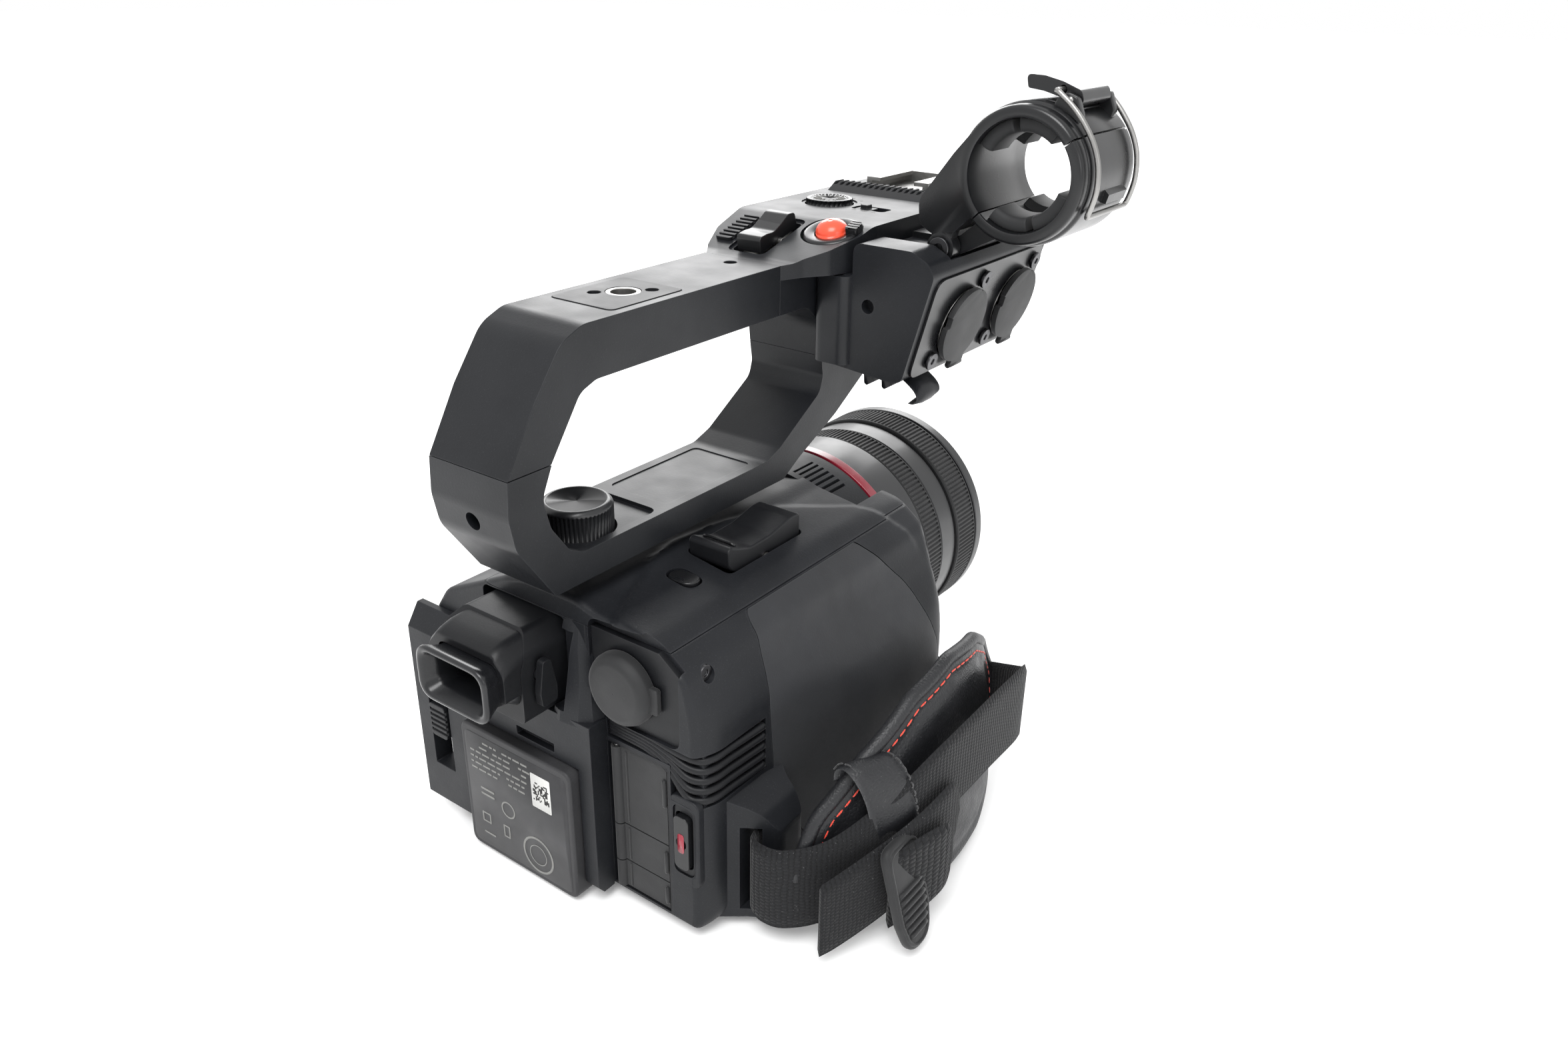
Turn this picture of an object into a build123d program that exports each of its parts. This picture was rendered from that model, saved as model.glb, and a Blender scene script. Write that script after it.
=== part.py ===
"""Compact camcorder with a detachable top handle, audio inputs, microphone clamp and hand strap.

Millimetres. The lens looks along -Y, +X is the operator's left, +Z is up. The origin is the
mouth of the tripod socket in the base; the lens axis and the handle both lie in the plane x = 0.
"""
import os
from math import atan2, cos, degrees, hypot, radians, sin, tan

from build123d import *

# ---- driving dimensions ----------------------------------------------------------------------
WALL = 2.2                 # moulded shell thickness
SEAM_X = -14.0             # plane where the left shell meets the grip shell
BODY_LEFT = 45.0           # outer left wall of the body
REAR_LEFT = 50.0           # left wall behind the screen, flush with the closed screen
BODY_TOP = 88.0            # highest line of the body under the handle
REAR_Y = 51.0              # rear wall of the body
BEZEL_Y = 57.0             # rear face of the frame round the battery
FRONT_Y = -46.0            # front wall of the body
BASE_T = 3.0               # base plate thickness
LENS_Z = 51.0              # height of the lens axis
SHROUD_R = 38.3            # body shroud round the lens
SHROUD_Y = -62.0           # front edge of the shroud
BARREL_R = 33.0            # fixed tube the lens rings turn on
LENS_FRONT_Y = -117.0      # front face of the lens
ZOOM_R = 36.3              # ribbed zoom ring
FOCUS_R = 37.0             # ribbed focus ring
FILTER_R = 31.0            # filter thread, 62 mm
HANDLE_HALF = 13.2         # half width of the handle
HANDLE_FOOT_Z = 93.0       # underside of the handle
HANDLE_TOP_Z = 156.0       # top of the handle grip
DECK_Z = 163.5             # flat deck of the control block
KNOB_Y = 38.0              # handle lock knob
KNOB_R = 9.3
MIC_X = -65.0              # axis of the microphone clamp
MIC_Z = 181.0
MIC_R = 18.4               # outside of the clamp ring
MIC_BORE_R = 14.3          # inside of the clamp ring
MIC_PAD_R = 10.0           # rubber pads, for a 20 mm microphone
CLAMP_HINGE = (-44.0, 160.0)   # x, z of the clamp's hinge screw
XLR_Z = 138.0              # centre line of the two audio sockets
XLR_Y = (-70.0, -101.7)
XLR_FRONT_Y = -116.0       # front end of the audio box
XLR_TILT = 15.0            # the socket panel leans in towards the bottom, degrees
XLR_PANEL_X = -45.0        # socket panel at the socket centre line
TRIPOD_R = 3.175           # 1/4 inch socket
SHOE_GAP = 18.8            # inside width of the accessory shoe


# ---- shape helpers ---------------------------------------------------------------------------
def block(x0, x1, y0, y1, z0, z1):
    """Box given by its six faces."""
    return Pos((x0 + x1) / 2, (y0 + y1) / 2, (z0 + z1) / 2) * Box(x1 - x0, y1 - y0, z1 - z0)


def prism_x(points, x0, x1):
    """Outline in Y and Z, extruded from x0 to x1."""
    face = Plane(origin=(x0, 0, 0), x_dir=(0, 1, 0), z_dir=(1, 0, 0)) * Polygon(*points, align=None)
    return extrude(face, amount=x1 - x0, dir=(1, 0, 0))


def prism_y(points, y0, y1):
    """Outline in X and Z, extruded from y0 to y1."""
    face = Plane(origin=(0, y1, 0), x_dir=(1, 0, 0), z_dir=(0, -1, 0)) * Polygon(*points, align=None)
    return extrude(face, amount=y1 - y0, dir=(0, -1, 0))


def prism_z(points, z0, z1):
    """Outline in X and Y, extruded from z0 to z1."""
    face = Plane(origin=(0, 0, z0)) * Polygon(*points, align=None)
    return extrude(face, amount=z1 - z0, dir=(0, 0, 1))


def cyl_x(y, z, r, x0, x1):
    """Cylinder along X."""
    return Pos((x0 + x1) / 2, y, z) * Rot(0, 90, 0) * Cylinder(r, x1 - x0)


def cyl_y(x, z, r, y0, y1):
    """Cylinder along Y."""
    return Pos(x, (y0 + y1) / 2, z) * Rot(90, 0, 0) * Cylinder(r, y1 - y0)


def cyl_z(x, y, r, z0, z1):
    """Cylinder along Z."""
    return Pos(x, y, (z0 + z1) / 2) * Cylinder(r, z1 - z0)


def slab(x0, x1, y0, y1, z0, z1, r, axis):
    """Box with the four edges along one axis rounded."""
    solid = block(x0, x1, y0, y1, z0, z1)
    return fillet(solid.edges().filter_by(axis), r)


def round_edges(solid, r, axis):
    """Round every straight edge along one axis."""
    return fillet(solid.edges().filter_by(axis), r)


def group(*shapes):
    """Separate solids kept together in one node."""
    solids = []
    for shape in shapes:
        solids += list(shape.solids())
    return Compound(children=solids)


def save(name, shape):
    """Write one piece."""
    export_step(shape, "parts/" + name + ".step")


# ---- body envelope ---------------------------------------------------------------------------
SECTION = [
    (BODY_LEFT, BASE_T), (BODY_LEFT, 67.0), (40.0, 74.0), (15.0, BODY_TOP - 2), (8.0, BODY_TOP),
    (-11.0, BODY_TOP), (-16.0, 86.5), (-36.0, 83.5), (-45.0, 77.0), (-50.5, 66.0), (-56.5, 57.0),
    (-61.5, 45.0), (-62.0, 30.0), (-57.0, 10.0), (-50.0, BASE_T),
]
PLAN = [
    (BODY_LEFT, REAR_Y - 3), (BODY_LEFT - 5, REAR_Y), (-47.6, REAR_Y), (-51.0, REAR_Y - 5),
    (-51.0, 25.0), (-55.0, 9.0), (-60.0, -12.0), (-62.0, -30.0), (-60.0, -47.0), (-52.0, -59.0),
    (-40.0, -62.0), (-30.0, -62.0), (-30.0, FRONT_Y), (BODY_LEFT - 4, FRONT_Y),
    (BODY_LEFT, FRONT_Y + 4),
]
SPLIT_Z = BODY_TOP - 6     # the top cover meets the two shells here
BASE_SCREWS = ((-36, -32), (30, -32), (-36, 38), (36, 36))


def shrunk(points, gap):
    """Outline moved inwards by a fixed distance."""
    face = make_face(Polyline(*points, close=True))
    if gap > 0:
        face = offset(face, -gap, kind=Kind.INTERSECTION)
    return face


def envelope(gap):
    """Solid of the whole body, shrunk inwards by gap."""
    side = Plane(origin=(0, 60, 0), x_dir=(1, 0, 0), z_dir=(0, -1, 0)) * shrunk(SECTION, gap)
    return extrude(side, amount=140, dir=(0, -1, 0)) & extrude(shrunk(PLAN, gap), amount=100, dir=(0, 0, 1))


def shroud(r, y0):
    """Round nose of the body that the lens stands in."""
    return cyl_y(0, LENS_Z, r, y0, FRONT_Y + 10)


BATTERY = (-14.2, 27.8, 0.8, 42.0)         # x0, x1, z0, z1
BATTERY_Y = (20.0, 60.0)
BAY = (-15.2, 28.8, 18.4, 43.0)            # x0, x1, front y, top z of the battery bay
TERMINAL = (-40.2, -19.6, 4.0, 51.0)       # x0, x1, z0, z1 of the terminal recess
SDI = (-44.0, -15.0, 57.2, 82.0)           # x0, x1, z0, z1 of the rear socket plate
FINDER = (-6.9, 23.4, 57.2, 81.4)          # x0, x1, z0, z1 of the viewfinder's opening
REC = (-47.6, -41.2, 20.0, 41.0)           # x0, x1, z0, z1 of the rear record button's recess
HINGE = (43.8, -42.6)                      # x, y of the screen's upright hinge
DOOR_HINGE = (-22.2, 50.2)                 # x, y of the pin that the terminal covers turn on
ROCKER_PIN = (-3.0, 84.0)                  # y, z of the grip rocker's cross pin


def palm_zone(gap):
    """Region of the right wall taken by the soft palm panel."""
    outline = [(23 - gap, 36 + gap), (25 - gap, 60), (21 - gap, SPLIT_Z - gap), (-29 + gap, SPLIT_Z - gap),
               (-42 + gap, 66), (-47 + gap, 36 + gap)]
    return prism_x(outline, -80, -38)


def vent_zone(gap):
    """Region of the rear right corner taken by the louvre grille."""
    corner = block(-60, -41.2 - gap, 26.0 + gap, 60.0, 41.6 + gap, 56.9 - gap)
    return corner + block(-41.3, -19.8 - gap, 46.0, 60.0, 51.8 + gap, 56.9 - gap)


def rocker_well():
    """Well for the grip zoom rocker."""
    return block(-29.6, -14.4, -19.6, 13.6, 81.0, 96.0)


def mic_pocket(side, gap):
    """Pocket for one of the two top microphone grilles, beside the handle's front foot."""
    x0 = 3.0 if side > 0 else -21.0
    return block(x0 + gap, x0 + 18.0 - gap, -58.5 + gap, -45.0 - gap, 78.0, 92.0)


def body_openings():
    """Openings through the rear, the base and the nose of the housing."""
    bay = block(BAY[0], BAY[1], BAY[2], 62.0, 0.0, BAY[3])
    terminal = block(TERMINAL[0], TERMINAL[1], 44.0, 62.0, TERMINAL[2], TERMINAL[3])
    sdi = block(SDI[0], SDI[1], 44.0, 62.0, SDI[2], SDI[3])
    finder = block(FINDER[0], FINDER[1], 44.0, 62.0, FINDER[2], FINDER[3])
    rec = block(REC[0], REC[1], 44.0, 62.0, REC[2], REC[3])
    mics = mic_pocket(1, 0) + mic_pocket(-1, 0)
    lens = cyl_y(0, LENS_Z, BARREL_R + 0.1, -70.0, -30.0)
    insert = cyl_z(0, 0, 9.05, 0.0, 12.0)
    return bay + terminal + sdi + finder + rec + mics + lens + insert


def housing():
    """Moulded housing before it is split into its shells."""
    outer = envelope(0) + shroud(SHROUD_R, SHROUD_Y)
    inner = envelope(WALL) + cyl_y(0, LENS_Z, SHROUD_R - WALL, SHROUD_Y + WALL, FRONT_Y + 4)
    return outer - inner - body_openings()


def lip_corner():
    """Corner of the lens opening's lip that belongs to the top cover."""
    return block(SEAM_X, 0, SHROUD_Y - 1.0, SHROUD_Y + 3.0, SPLIT_Z - 1.5, SPLIT_Z)


def left_shell(shell):
    """Left half of the housing, with the nose round the lens."""
    part = shell & block(SEAM_X, 60, -80, 70, BASE_T, SPLIT_Z)
    screen_seat = block(BODY_LEFT - 1.0, 60, -38.4, 39.0, 13.6, 67.0)
    hinge_seat = block(BODY_LEFT - 7.0, 60, -46.8, -38.4, 13.6, 67.0)
    catch = block(36.8, 44.6, 44.0, 62.0, 18.0, 40.6)
    part += block(BODY_LEFT - 1.0, REAR_LEFT, 39.4, REAR_Y, 3.4, 68.0)
    return part - screen_seat - hinge_seat - catch - lip_corner()


def grip_shell(shell):
    """Right half of the housing, which the hand wraps round, with both strap lugs."""
    part = shell & block(-80, SEAM_X, -80, 70, BASE_T, SPLIT_Z)
    part += strap_lugs() - envelope(0.5)
    part -= palm_zone(0) & (envelope(0) - envelope(1.1))
    part -= vent_zone(0) + cyl_x(42.5, 76.0, 2.15, -56.0, -44.2)
    return part - block(-58.4, -53.6, 22.0, 60.0, 5.8, 32.2)


def top_cover(shell):
    """Cover that carries the seat for the handle, the rocker well and the key well."""
    part = shell & (block(-80, 60, -80, 70, SPLIT_Z, 100) + lip_corner())
    part += block(-12.6, 12.6, -31.0, 48.0, BODY_TOP - WALL, HANDLE_FOOT_Z)
    part += block(-31.2, -12.9, -21.2, 15.2, 79.4, 84.0) + block(-28.8, -16.2, 18.7, 28.3, 77.4, 84.0)
    part -= rocker_well() + slab(-27.3, -17.7, 20.2, 26.8, 79.2, 95.0, 3.2, Axis.Z)
    return part - cyl_z(0, KNOB_Y, 2.75, 80.0, 100.0)


def base_plate():
    """Flat base with a notch for the battery and a hole for the tripod socket."""
    outline = [(-46, -40), (-40, -45), (36, -42), (42, -36), (42, 42), (37, 47), (-41, 47), (-46, 42)]
    part = prism_z(outline, 0, BASE_T)
    part -= block(BAY[0], BAY[1], BAY[2], 60, -1, 5)
    part -= cyl_z(0, 0, 6.5, -1, 5) + cyl_z(0, 13.5, 2.3, -1, 5)
    for x, y in BASE_SCREWS:
        part -= cyl_z(x, y, 2.2, -1, 1.2)
    return part


def threaded_inserts():
    """Metal inserts in the base and in the top of the handle."""
    base = cyl_z(0, 0, 6.45, 0, BASE_T) + cyl_z(0, 0, 9.0, BASE_T, 10.0)
    handle = cyl_z(0, 18.0, 4.45, 147.0, 156.1) - cyl_z(0, 18.0, TRIPOD_R, 148.6, 157.0)
    return group(base - cyl_z(0, 0, TRIPOD_R, -1, 8.0), handle)


# ---- pieces set into the body ----------------------------------------------------------------
def palm_panel():
    """Soft palm panel set flush into the grip."""
    return palm_zone(0.12) & (envelope(0) - envelope(1.05))


def vent_grille():
    """Louvres wrapping round the rear right corner."""
    part = vent_zone(0.05) & (envelope(0) - envelope(3.6))
    skin = envelope(0) - envelope(1.8)
    for i in range(5):
        z = 43.6 + 2.6 * i
        part -= block(-60, -21.5, 28.0, 60.0, z, z + 1.2) & skin
    return part


def mic_grilles():
    """The two slotted grilles over the built-in microphones."""
    pieces = []
    for side in (-1, 1):
        part = mic_pocket(side, 0.1) & shroud(SHROUD_R, SHROUD_Y)
        part -= cyl_y(0, LENS_Z, SHROUD_R - WALL, -80, -30)
        x0 = 3.0 if side > 0 else -21.0
        for i in range(7):
            part -= block(x0 + 2.0 + 2.0 * i, x0 + 2.9 + 2.0 * i, -56.5, -46.5, 70.0, 100.0)
        pieces.append(part)
    return group(*pieces)


def battery_contacts():
    """Spring blades on the front wall of the battery bay."""
    blades = []
    for i in range(4):
        x = -6.0 + 5.0 * i
        blades.append(block(x, x + 1.6, 19.6, 21.2, 18.0, 24.0))
    return blades


def rear_bezel():
    """Battery bay with the raised frame that surrounds it on the rear."""
    part = block(-19.4, REAR_LEFT, REAR_Y, 60.0, 3.4, 57.0) + block(23.8, REAR_LEFT, REAR_Y, 60.0, 56.0, 68.0)
    side = [(REAR_Y, 3.4), (55.0, 3.4), (BEZEL_Y, 6.0), (BEZEL_Y, 62.0), (53.0, 68.0), (REAR_Y, 68.0)]
    part = part & prism_x(side, -20.0, 60.0)
    part += block(BAY[0] + 0.05, BAY[1] - 0.05, BAY[2] + 0.05, REAR_Y, BASE_T + 0.05, BAY[3] - 0.05)
    part -= block(BATTERY[0] - 0.4, BATTERY[1] + 0.4, BATTERY_Y[0] - 0.4, 62, 0, BATTERY[3] + 0.4)
    part -= block(36.6, 44.8, 40, 62, 18.4, 41.0)
    return part - block(-6.0, 8.0, 55.0, 62, 44.0, 46.6)


def battery():
    """Slab battery with one stepped long edge and a label recess."""
    part = block(BATTERY[0], BATTERY[1], BATTERY_Y[0], BATTERY_Y[1], BATTERY[2], BATTERY[3])
    part = round_edges(part, 2.2, Axis.Y)
    part = chamfer(part.faces().sort_by(Axis.Y)[-1].edges(), 0.8)
    for i in range(4):
        x = -6.4 + 5.0 * i
        part -= block(x, x + 2.4, BATTERY_Y[0] - 1, BATTERY_Y[0] + 1.5, 16.0, 26.0)
    return part


def battery_catch():
    """Sliding battery release with a ribbed thumb face."""
    part = slab(37.4, 44.0, 50.0, BEZEL_Y + 0.8, 29.0, 39.8, 1.2, Axis.Y)
    for i in range(5):
        part -= block(36, 46, BEZEL_Y + 0.2, BEZEL_Y + 1, 30.6 + 1.7 * i, 31.4 + 1.7 * i)
    return part


def terminal_panel():
    """Open box in the terminal recess, with its sockets let into the floor."""
    part = block(TERMINAL[0] + 0.05, TERMINAL[1] - 0.05, 44.05, 50.9, TERMINAL[2] + 0.05, TERMINAL[3] - 0.05)
    part -= block(TERMINAL[0] + 0.8, TERMINAL[1] + 1, 46.5, 52.0, TERMINAL[2] + 0.75, TERMINAL[3] - 0.75)
    part -= block(-36.5, -27.5, 44.9, 47.0, 36.0, 41.5)
    return part - cyl_y(-32.0, 20.5, 1.85, 44.9, 47.0) - cyl_y(-32.0, 9.0, 2.8, 44.9, 47.0)


def door(z0, z1):
    """One terminal cover with its hinge knuckle on the edge next to the battery."""
    x, y = DOOR_HINGE
    leaf = block(TERMINAL[0] + 1.4, x - 1.5, 47.4, 50.4, z0, z1)
    plug = block(-35.0, -27.5, 46.9, 47.4, z0 + 2.2, z1 - 2.2)
    return leaf + plug + cyl_z(x, y, 1.6, z0, z1) - cyl_z(x, y, 1.0, z0 - 1, z1 + 1)


def hinge_pins():
    """Pins of the terminal covers, the screen and the two zoom rockers."""
    covers = cyl_z(DOOR_HINGE[0], DOOR_HINGE[1], 0.8, TERMINAL[2] + 0.75, TERMINAL[3] - 0.75)
    low = cyl_z(HINGE[0], HINGE[1], 1.25, 13.6, 19.0)
    high = cyl_z(HINGE[0], HINGE[1], 1.25, 61.0, 67.0)
    rocker = cyl_x(ROCKER_PIN[0], ROCKER_PIN[1], 1.2, -29.6, -14.4)
    return group(covers, low, high, rocker, rocker_cradle())


def rear_panels():
    """Terminal box and the plate round the rear coaxial socket."""
    part = block(SDI[0] + 0.05, SDI[1] - 0.05, 44.5, 50.0, SDI[2] + 0.05, SDI[3] - 0.05)
    part = part & envelope(0.6)
    return group(terminal_panel(), part - cyl_y(-26.5, 69.0, 6.5, 44.0, 51.0))


def sdi_socket():
    """Coaxial socket behind the round cap."""
    part = cyl_y(-26.5, 69.0, 6.4, 38.0, 45.2) + cyl_y(-26.5, 69.0, 4.8, 45.2, 51.5)
    part -= cyl_y(-26.5, 69.0, 3.4, 44.0, 52.0)
    return part + cyl_y(-26.5, 69.0, 0.6, 43.0, 50.5)


def sdi_cap():
    """Round rubber cap over the coaxial socket, on a hinged tongue."""
    part = cyl_y(-26.5, 69.0, 9.8, 50.3, 54.8) - cyl_y(-26.5, 69.0, 5.2, 50.0, 52.6)
    part += block(-37.5, -26.5, 50.3, 52.0, 64.5, 73.5) - cyl_y(-26.5, 69.0, 6.0, 50.0, 52.2)
    return part


def rec_button():
    """Rear record button."""
    part = slab(REC[0] + 0.8, REC[1] - 0.8, 45.8, 52.0, 22.4, 38.6, 1.6, Axis.Y)
    return part - cyl_y((REC[0] + REC[1]) / 2, 30.5, 1.6, 51.6, 53.0)


def rec_seat():
    """Housing of the record switch behind the button."""
    part = block(REC[0] + 0.05, REC[1] - 0.05, 40.0, 50.0, REC[2] + 0.05, REC[3] - 0.05) & envelope(0.2)
    return part - block(REC[0] + 0.4, REC[1] - 0.4, 44.9, 52.0, 22.0, 39.0)


def user_button():
    """Small oval key on top of the grip."""
    return slab(-26.9, -18.1, 20.6, 26.4, 80.0, 86.8, 2.8, Axis.Z)


def zoom_rocker():
    """Grip zoom rocker: a saddle that tips about a cross pin."""
    outline = [(-18.4, 83.6), (-18.4, 91.0), (-13.0, 90.4), (-3.0, 87.6), (5.0, 88.6), (10.5, 92.6),
               (13.0, 92.0), (12.4, 86.0), (8.0, 83.4), (0.0, 82.4), (-6.0, 82.4)]
    return prism_x(outline, -28.8, -15.2) - cyl_x(ROCKER_PIN[0], ROCKER_PIN[1], 1.3, -30, -14)


# ---- lens ------------------------------------------------------------------------------------
def tube(ro, ri, y0, y1):
    """Tube on the lens axis."""
    return cyl_y(0, LENS_Z, ro, y0, y1) - cyl_y(0, LENS_Z, ri, y0 - 1, y1 + 1)


def grooves(r, depth, count, y0, y1, width):
    """Ring of straight grooves round the lens axis."""
    cut = []
    for i in range(count):
        rib = block(-width / 2, width / 2, y0, y1, r - depth, r + 1)
        cut.append(Pos(0, 0, LENS_Z) * Rot(0, 360.0 * i / count, 0) * rib)
    return Compound(children=cut)


def lens_barrel():
    """Fixed tube with the smooth bands between the rings and the dished ring round the glass."""
    part = tube(BARREL_R, BARREL_R - 2.5, LENS_FRONT_Y + 4.0, -32.0)
    part += tube(SHROUD_R - 1.6, BARREL_R - 1, -80.6, -65.6)
    part += tube(ZOOM_R - 0.3, BARREL_R - 1, -100.0, -91.4)
    part += tube(BARREL_R - 2.0, 24.0, -112.0, -104.0)
    return part - Pos(0, -110.0, LENS_Z) * Rot(90, 0, 0) * Cone(24.0, 30.2, 6.2)


def accent_ring():
    """Coloured accent ring between the body nose and the lens."""
    return tube(SHROUD_R + 0.2, BARREL_R + 0.1, -65.5, SHROUD_Y)


def zoom_ring():
    """Ribbed zoom ring."""
    return tube(ZOOM_R, BARREL_R + 0.25, -91.0, -81.0) - grooves(ZOOM_R, 0.6, 48, -90.0, -82.0, 1.4)


def focus_ring():
    """Ribbed focus ring."""
    return tube(FOCUS_R, BARREL_R + 0.25, -112.6, -100.4) - grooves(FOCUS_R, 0.6, 60, -111.4, -101.6, 1.1)


def front_bezel():
    """Front ring with the filter thread."""
    return tube(FOCUS_R + 0.1, FILTER_R, LENS_FRONT_Y, LENS_FRONT_Y + 4.0)


def glass_elements():
    """Domed front element and the eyepiece lens."""
    ball = Pos(0, -62.0, LENS_Z) * Sphere(50.0)
    front = ball & cyl_y(0, LENS_Z, 23.9, -120, -103.9)
    return group(front, block(-3.4, 16.4, 52.0, 55.0, 62.7, 76.5))


def optics_core():
    """Inner lens tube with two elements, the block behind it and the image sensor."""
    inner = tube(23.9, 20.0, -103.8, -20.0)
    inner += cyl_y(0, LENS_Z, 21.0, -70.0, -64.0) + cyl_y(0, LENS_Z, 21.0, -30.0, -24.0)
    mount = block(-16.0, 20.0, -20.0, 8.0, 34.0, 69.0) - cyl_y(0, LENS_Z, 12.0, -25.0, 12.0)
    sensor = block(-14.0, 15.0, 8.0, 9.6, 37.0, 65.0)
    return group(inner, mount, sensor)


def main_board():
    """Upright circuit board with two shielded chips and its stand-offs."""
    part = block(35.0, 36.6, -30.0, 38.0, 15.0, 65.0)
    part += block(32.8, 35.0, -20.0, -2.0, 30.0, 48.0) + block(33.4, 35.0, 8.0, 20.0, 46.0, 58.0)
    for y in (-25.0, 33.0):
        for z in (20.0, 60.0):
            part += cyl_x(y, z, 2.0, 36.0, BODY_LEFT - WALL)
    return part


def heat_sink():
    """Finned heat sink behind the louvres."""
    part = block(-41.0, -6.0, 10.0, 36.0, BAY[3] - 0.05, 45.5)
    for i in range(8):
        x = -41.0 + 3.6 * i
        part += block(x, x + 1.2, 10.0, 36.0, 45.0, 56.0)
    return part


def electronics():
    """Boards, heat sink, contacts, switch housings and the viewfinder's display."""
    collar = on_ramp(REC_AT[0], REC_AT[1], Pos(0, 0, -2.65) * Cylinder(8.8, 1.6))
    display = block(-3.4, 16.4, 33.2, 35.0, 62.7, 76.5)
    handle_board = block(-10.0, 10.0, -98.0, -58.0, 129.8, 131.4) + block(-6, 6, -92, -76, 131.4, 134.0)
    return group(main_board(), heat_sink(), rec_seat(), collar, display, handle_board, *battery_contacts())


# ---- viewfinder and screen -------------------------------------------------------------------
def finder_housing():
    """Viewfinder tube with its sloped hood."""
    outline = [(-6.6, 57.5), (-6.6, 77.5), (-3.5, 81.2), (19.5, 81.2), (23.2, 77.5), (23.2, 57.5)]
    part = prism_y(outline, 30.0, 66.0) + block(-6.4, 21.0, 30.0, 71.0, 78.2, 80.2)
    part -= block(-3.5, 16.5, 33.0, 70.0, 62.6, 76.6)
    return part - cyl_x(60.0, 70.0, 2.2, -7.0, -4.6)


def finder_eyecup():
    """Rubber eyecup round the eyepiece."""
    part = slab(-6.4, 19.4, 66.0, 77.0, 62.0, 77.4, 4.2, Axis.Y)
    return part - slab(-2.6, 15.6, 60.0, 80.0, 63.6, 75.6, 2.6, Axis.Y)


def diopter_lever():
    """Eyesight adjustment lever on the viewfinder's right side."""
    part = cyl_x(60.0, 70.0, 4.6, -9.6, -6.95) + cyl_x(60.0, 70.0, 1.9, -6.95, -4.9)
    return part + block(-9.6, -7.2, 59.0, 61.0, 63.0, 66.5)


def screen_hinge():
    """Upright hinge barrel of the fold-out screen."""
    x, y = HINGE
    part = cyl_z(x, y, 3.6, 14.2, 66.4)
    return part - cyl_z(x, y, 1.45, 13.0, 19.6) - cyl_z(x, y, 1.45, 60.4, 68.0)


def screen_panel():
    """Fold-out screen, closed against the left side, with the glass on its inner face."""
    part = slab(BODY_LEFT - 0.6, BODY_LEFT + 4.6, -38.6, 38.4, 14.2, 66.4, 3.0, Axis.X)
    stop = block(BODY_LEFT - 0.6, BODY_LEFT + 2.0, -40.4, -38.0, 26.0, 54.0)
    part += stop - cyl_z(HINGE[0], HINGE[1], 3.62, 20, 60)
    part -= block(BODY_LEFT - 1, BODY_LEFT + 0.4, -33.0, 34.0, 19.0, 62.0)
    glass = block(BODY_LEFT - 0.5, BODY_LEFT + 0.4, -32.9, 33.9, 19.1, 61.9)
    return group(part, glass)


# ---- handle ----------------------------------------------------------------------------------
FOOT = [
    (-32.0, 93.0), (58.7, 93.0), (69.4, 108.7), (70.8, 116.0), (70.3, 126.0), (57.1, 126.0),
    (60.6, 119.6), (58.6, 110.6), (53.4, 103.2), (49.0, 101.0), (-22.9, 101.0), (-28.0, 102.6),
    (-40.0, 109.4), (-49.4, 115.0), (-50.6, 119.0), (-49.8, 126.0), (-88.0, 126.0),
    (-74.3, 115.7), (-58.2, 106.0), (-40.0, 98.6),
]
GRIP = [
    (70.3, 126.0), (61.2, 141.1), (50.1, 153.6), (45.0, HANDLE_TOP_Z), (-29.0, HANDLE_TOP_Z),
    (-29.0, 142.3), (41.6, 142.3), (46.9, 140.4), (57.1, 126.0),
]
NECK = [
    (-29.0, 142.3), (-29.0, 152.0), (-136.0, 152.0), (-136.0, 131.0), (-100.0, 126.0),
    (-49.8, 126.0), (-47.6, 136.0), (-42.0, 142.3),
]


def handle_foot():
    """Lower half of the handle with the well for the lock knob."""
    part = prism_x(FOOT, -HANDLE_HALF, HANDLE_HALF)
    rear = part.edges().filter_by(
        lambda e: e.center().Y > 61.0 and abs(e.center().X) > 13 and e.center().Z < 125.5)
    part = chamfer(rear, 1.6)
    part -= block(-10.9, 10.9, 20.0, 52.5, 97.0, 112.0) + block(-10.9, 10.9, -20.0, 16.0, 99.4, 104.0)
    return part - cyl_z(0, KNOB_Y, 2.75, 90.0, 100.0) - cyl_y(0, 113.0, 2.3, 62.0, 80.0)


def handle_grip():
    """Upper half of the handle, the bar that is carried."""
    part = prism_x(GRIP, -HANDLE_HALF, HANDLE_HALF)
    outer = part.edges().filter_by(
        lambda e: abs(e.center().X) > 13 and (e.center().Z > 155.9 or e.center().Y + e.center().Z > 195.0))
    part = chamfer(outer, 1.6)
    part -= slab(-10.4, 10.4, 7.0, 33.0, 155.2, 157.0, 2.0, Axis.Z)
    return part - cyl_z(0, 18.0, 4.47, 147.0, 157.0) - cyl_z(0, -24.0, 1.8, 150.0, 157.0)


def handle_plate():
    """Thin plate on the handle with a threaded hole and two locating holes."""
    part = slab(-10.3, 10.3, 7.1, 32.9, 155.2, 156.2, 1.9, Axis.Z)
    part -= cyl_z(0, 18.0, 4.5, 154, 158)
    for x, y in ((-4.6, 12.6), (4.6, 23.4)):
        part -= cyl_z(x, y, 1.7, 154, 158)
    return part


def lock_knob():
    """Knurled knob and screw that fix the handle to the body."""
    part = cyl_z(0, KNOB_Y, KNOB_R, 97.6, 107.5) + cyl_z(0, KNOB_Y, 2.4, 84.0, 97.6)
    part -= cyl_z(0, KNOB_Y, KNOB_R - 1.6, 106.9, 108.0)
    cut = []
    for i in range(40):
        notch = block(KNOB_R - 0.5, KNOB_R + 1, -0.3, 0.3, 98.4, 106.2)
        cut.append(Pos(0, KNOB_Y, 0) * Rot(0, 0, 9.0 * i) * notch)
    return part - Compound(children=cut)


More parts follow.
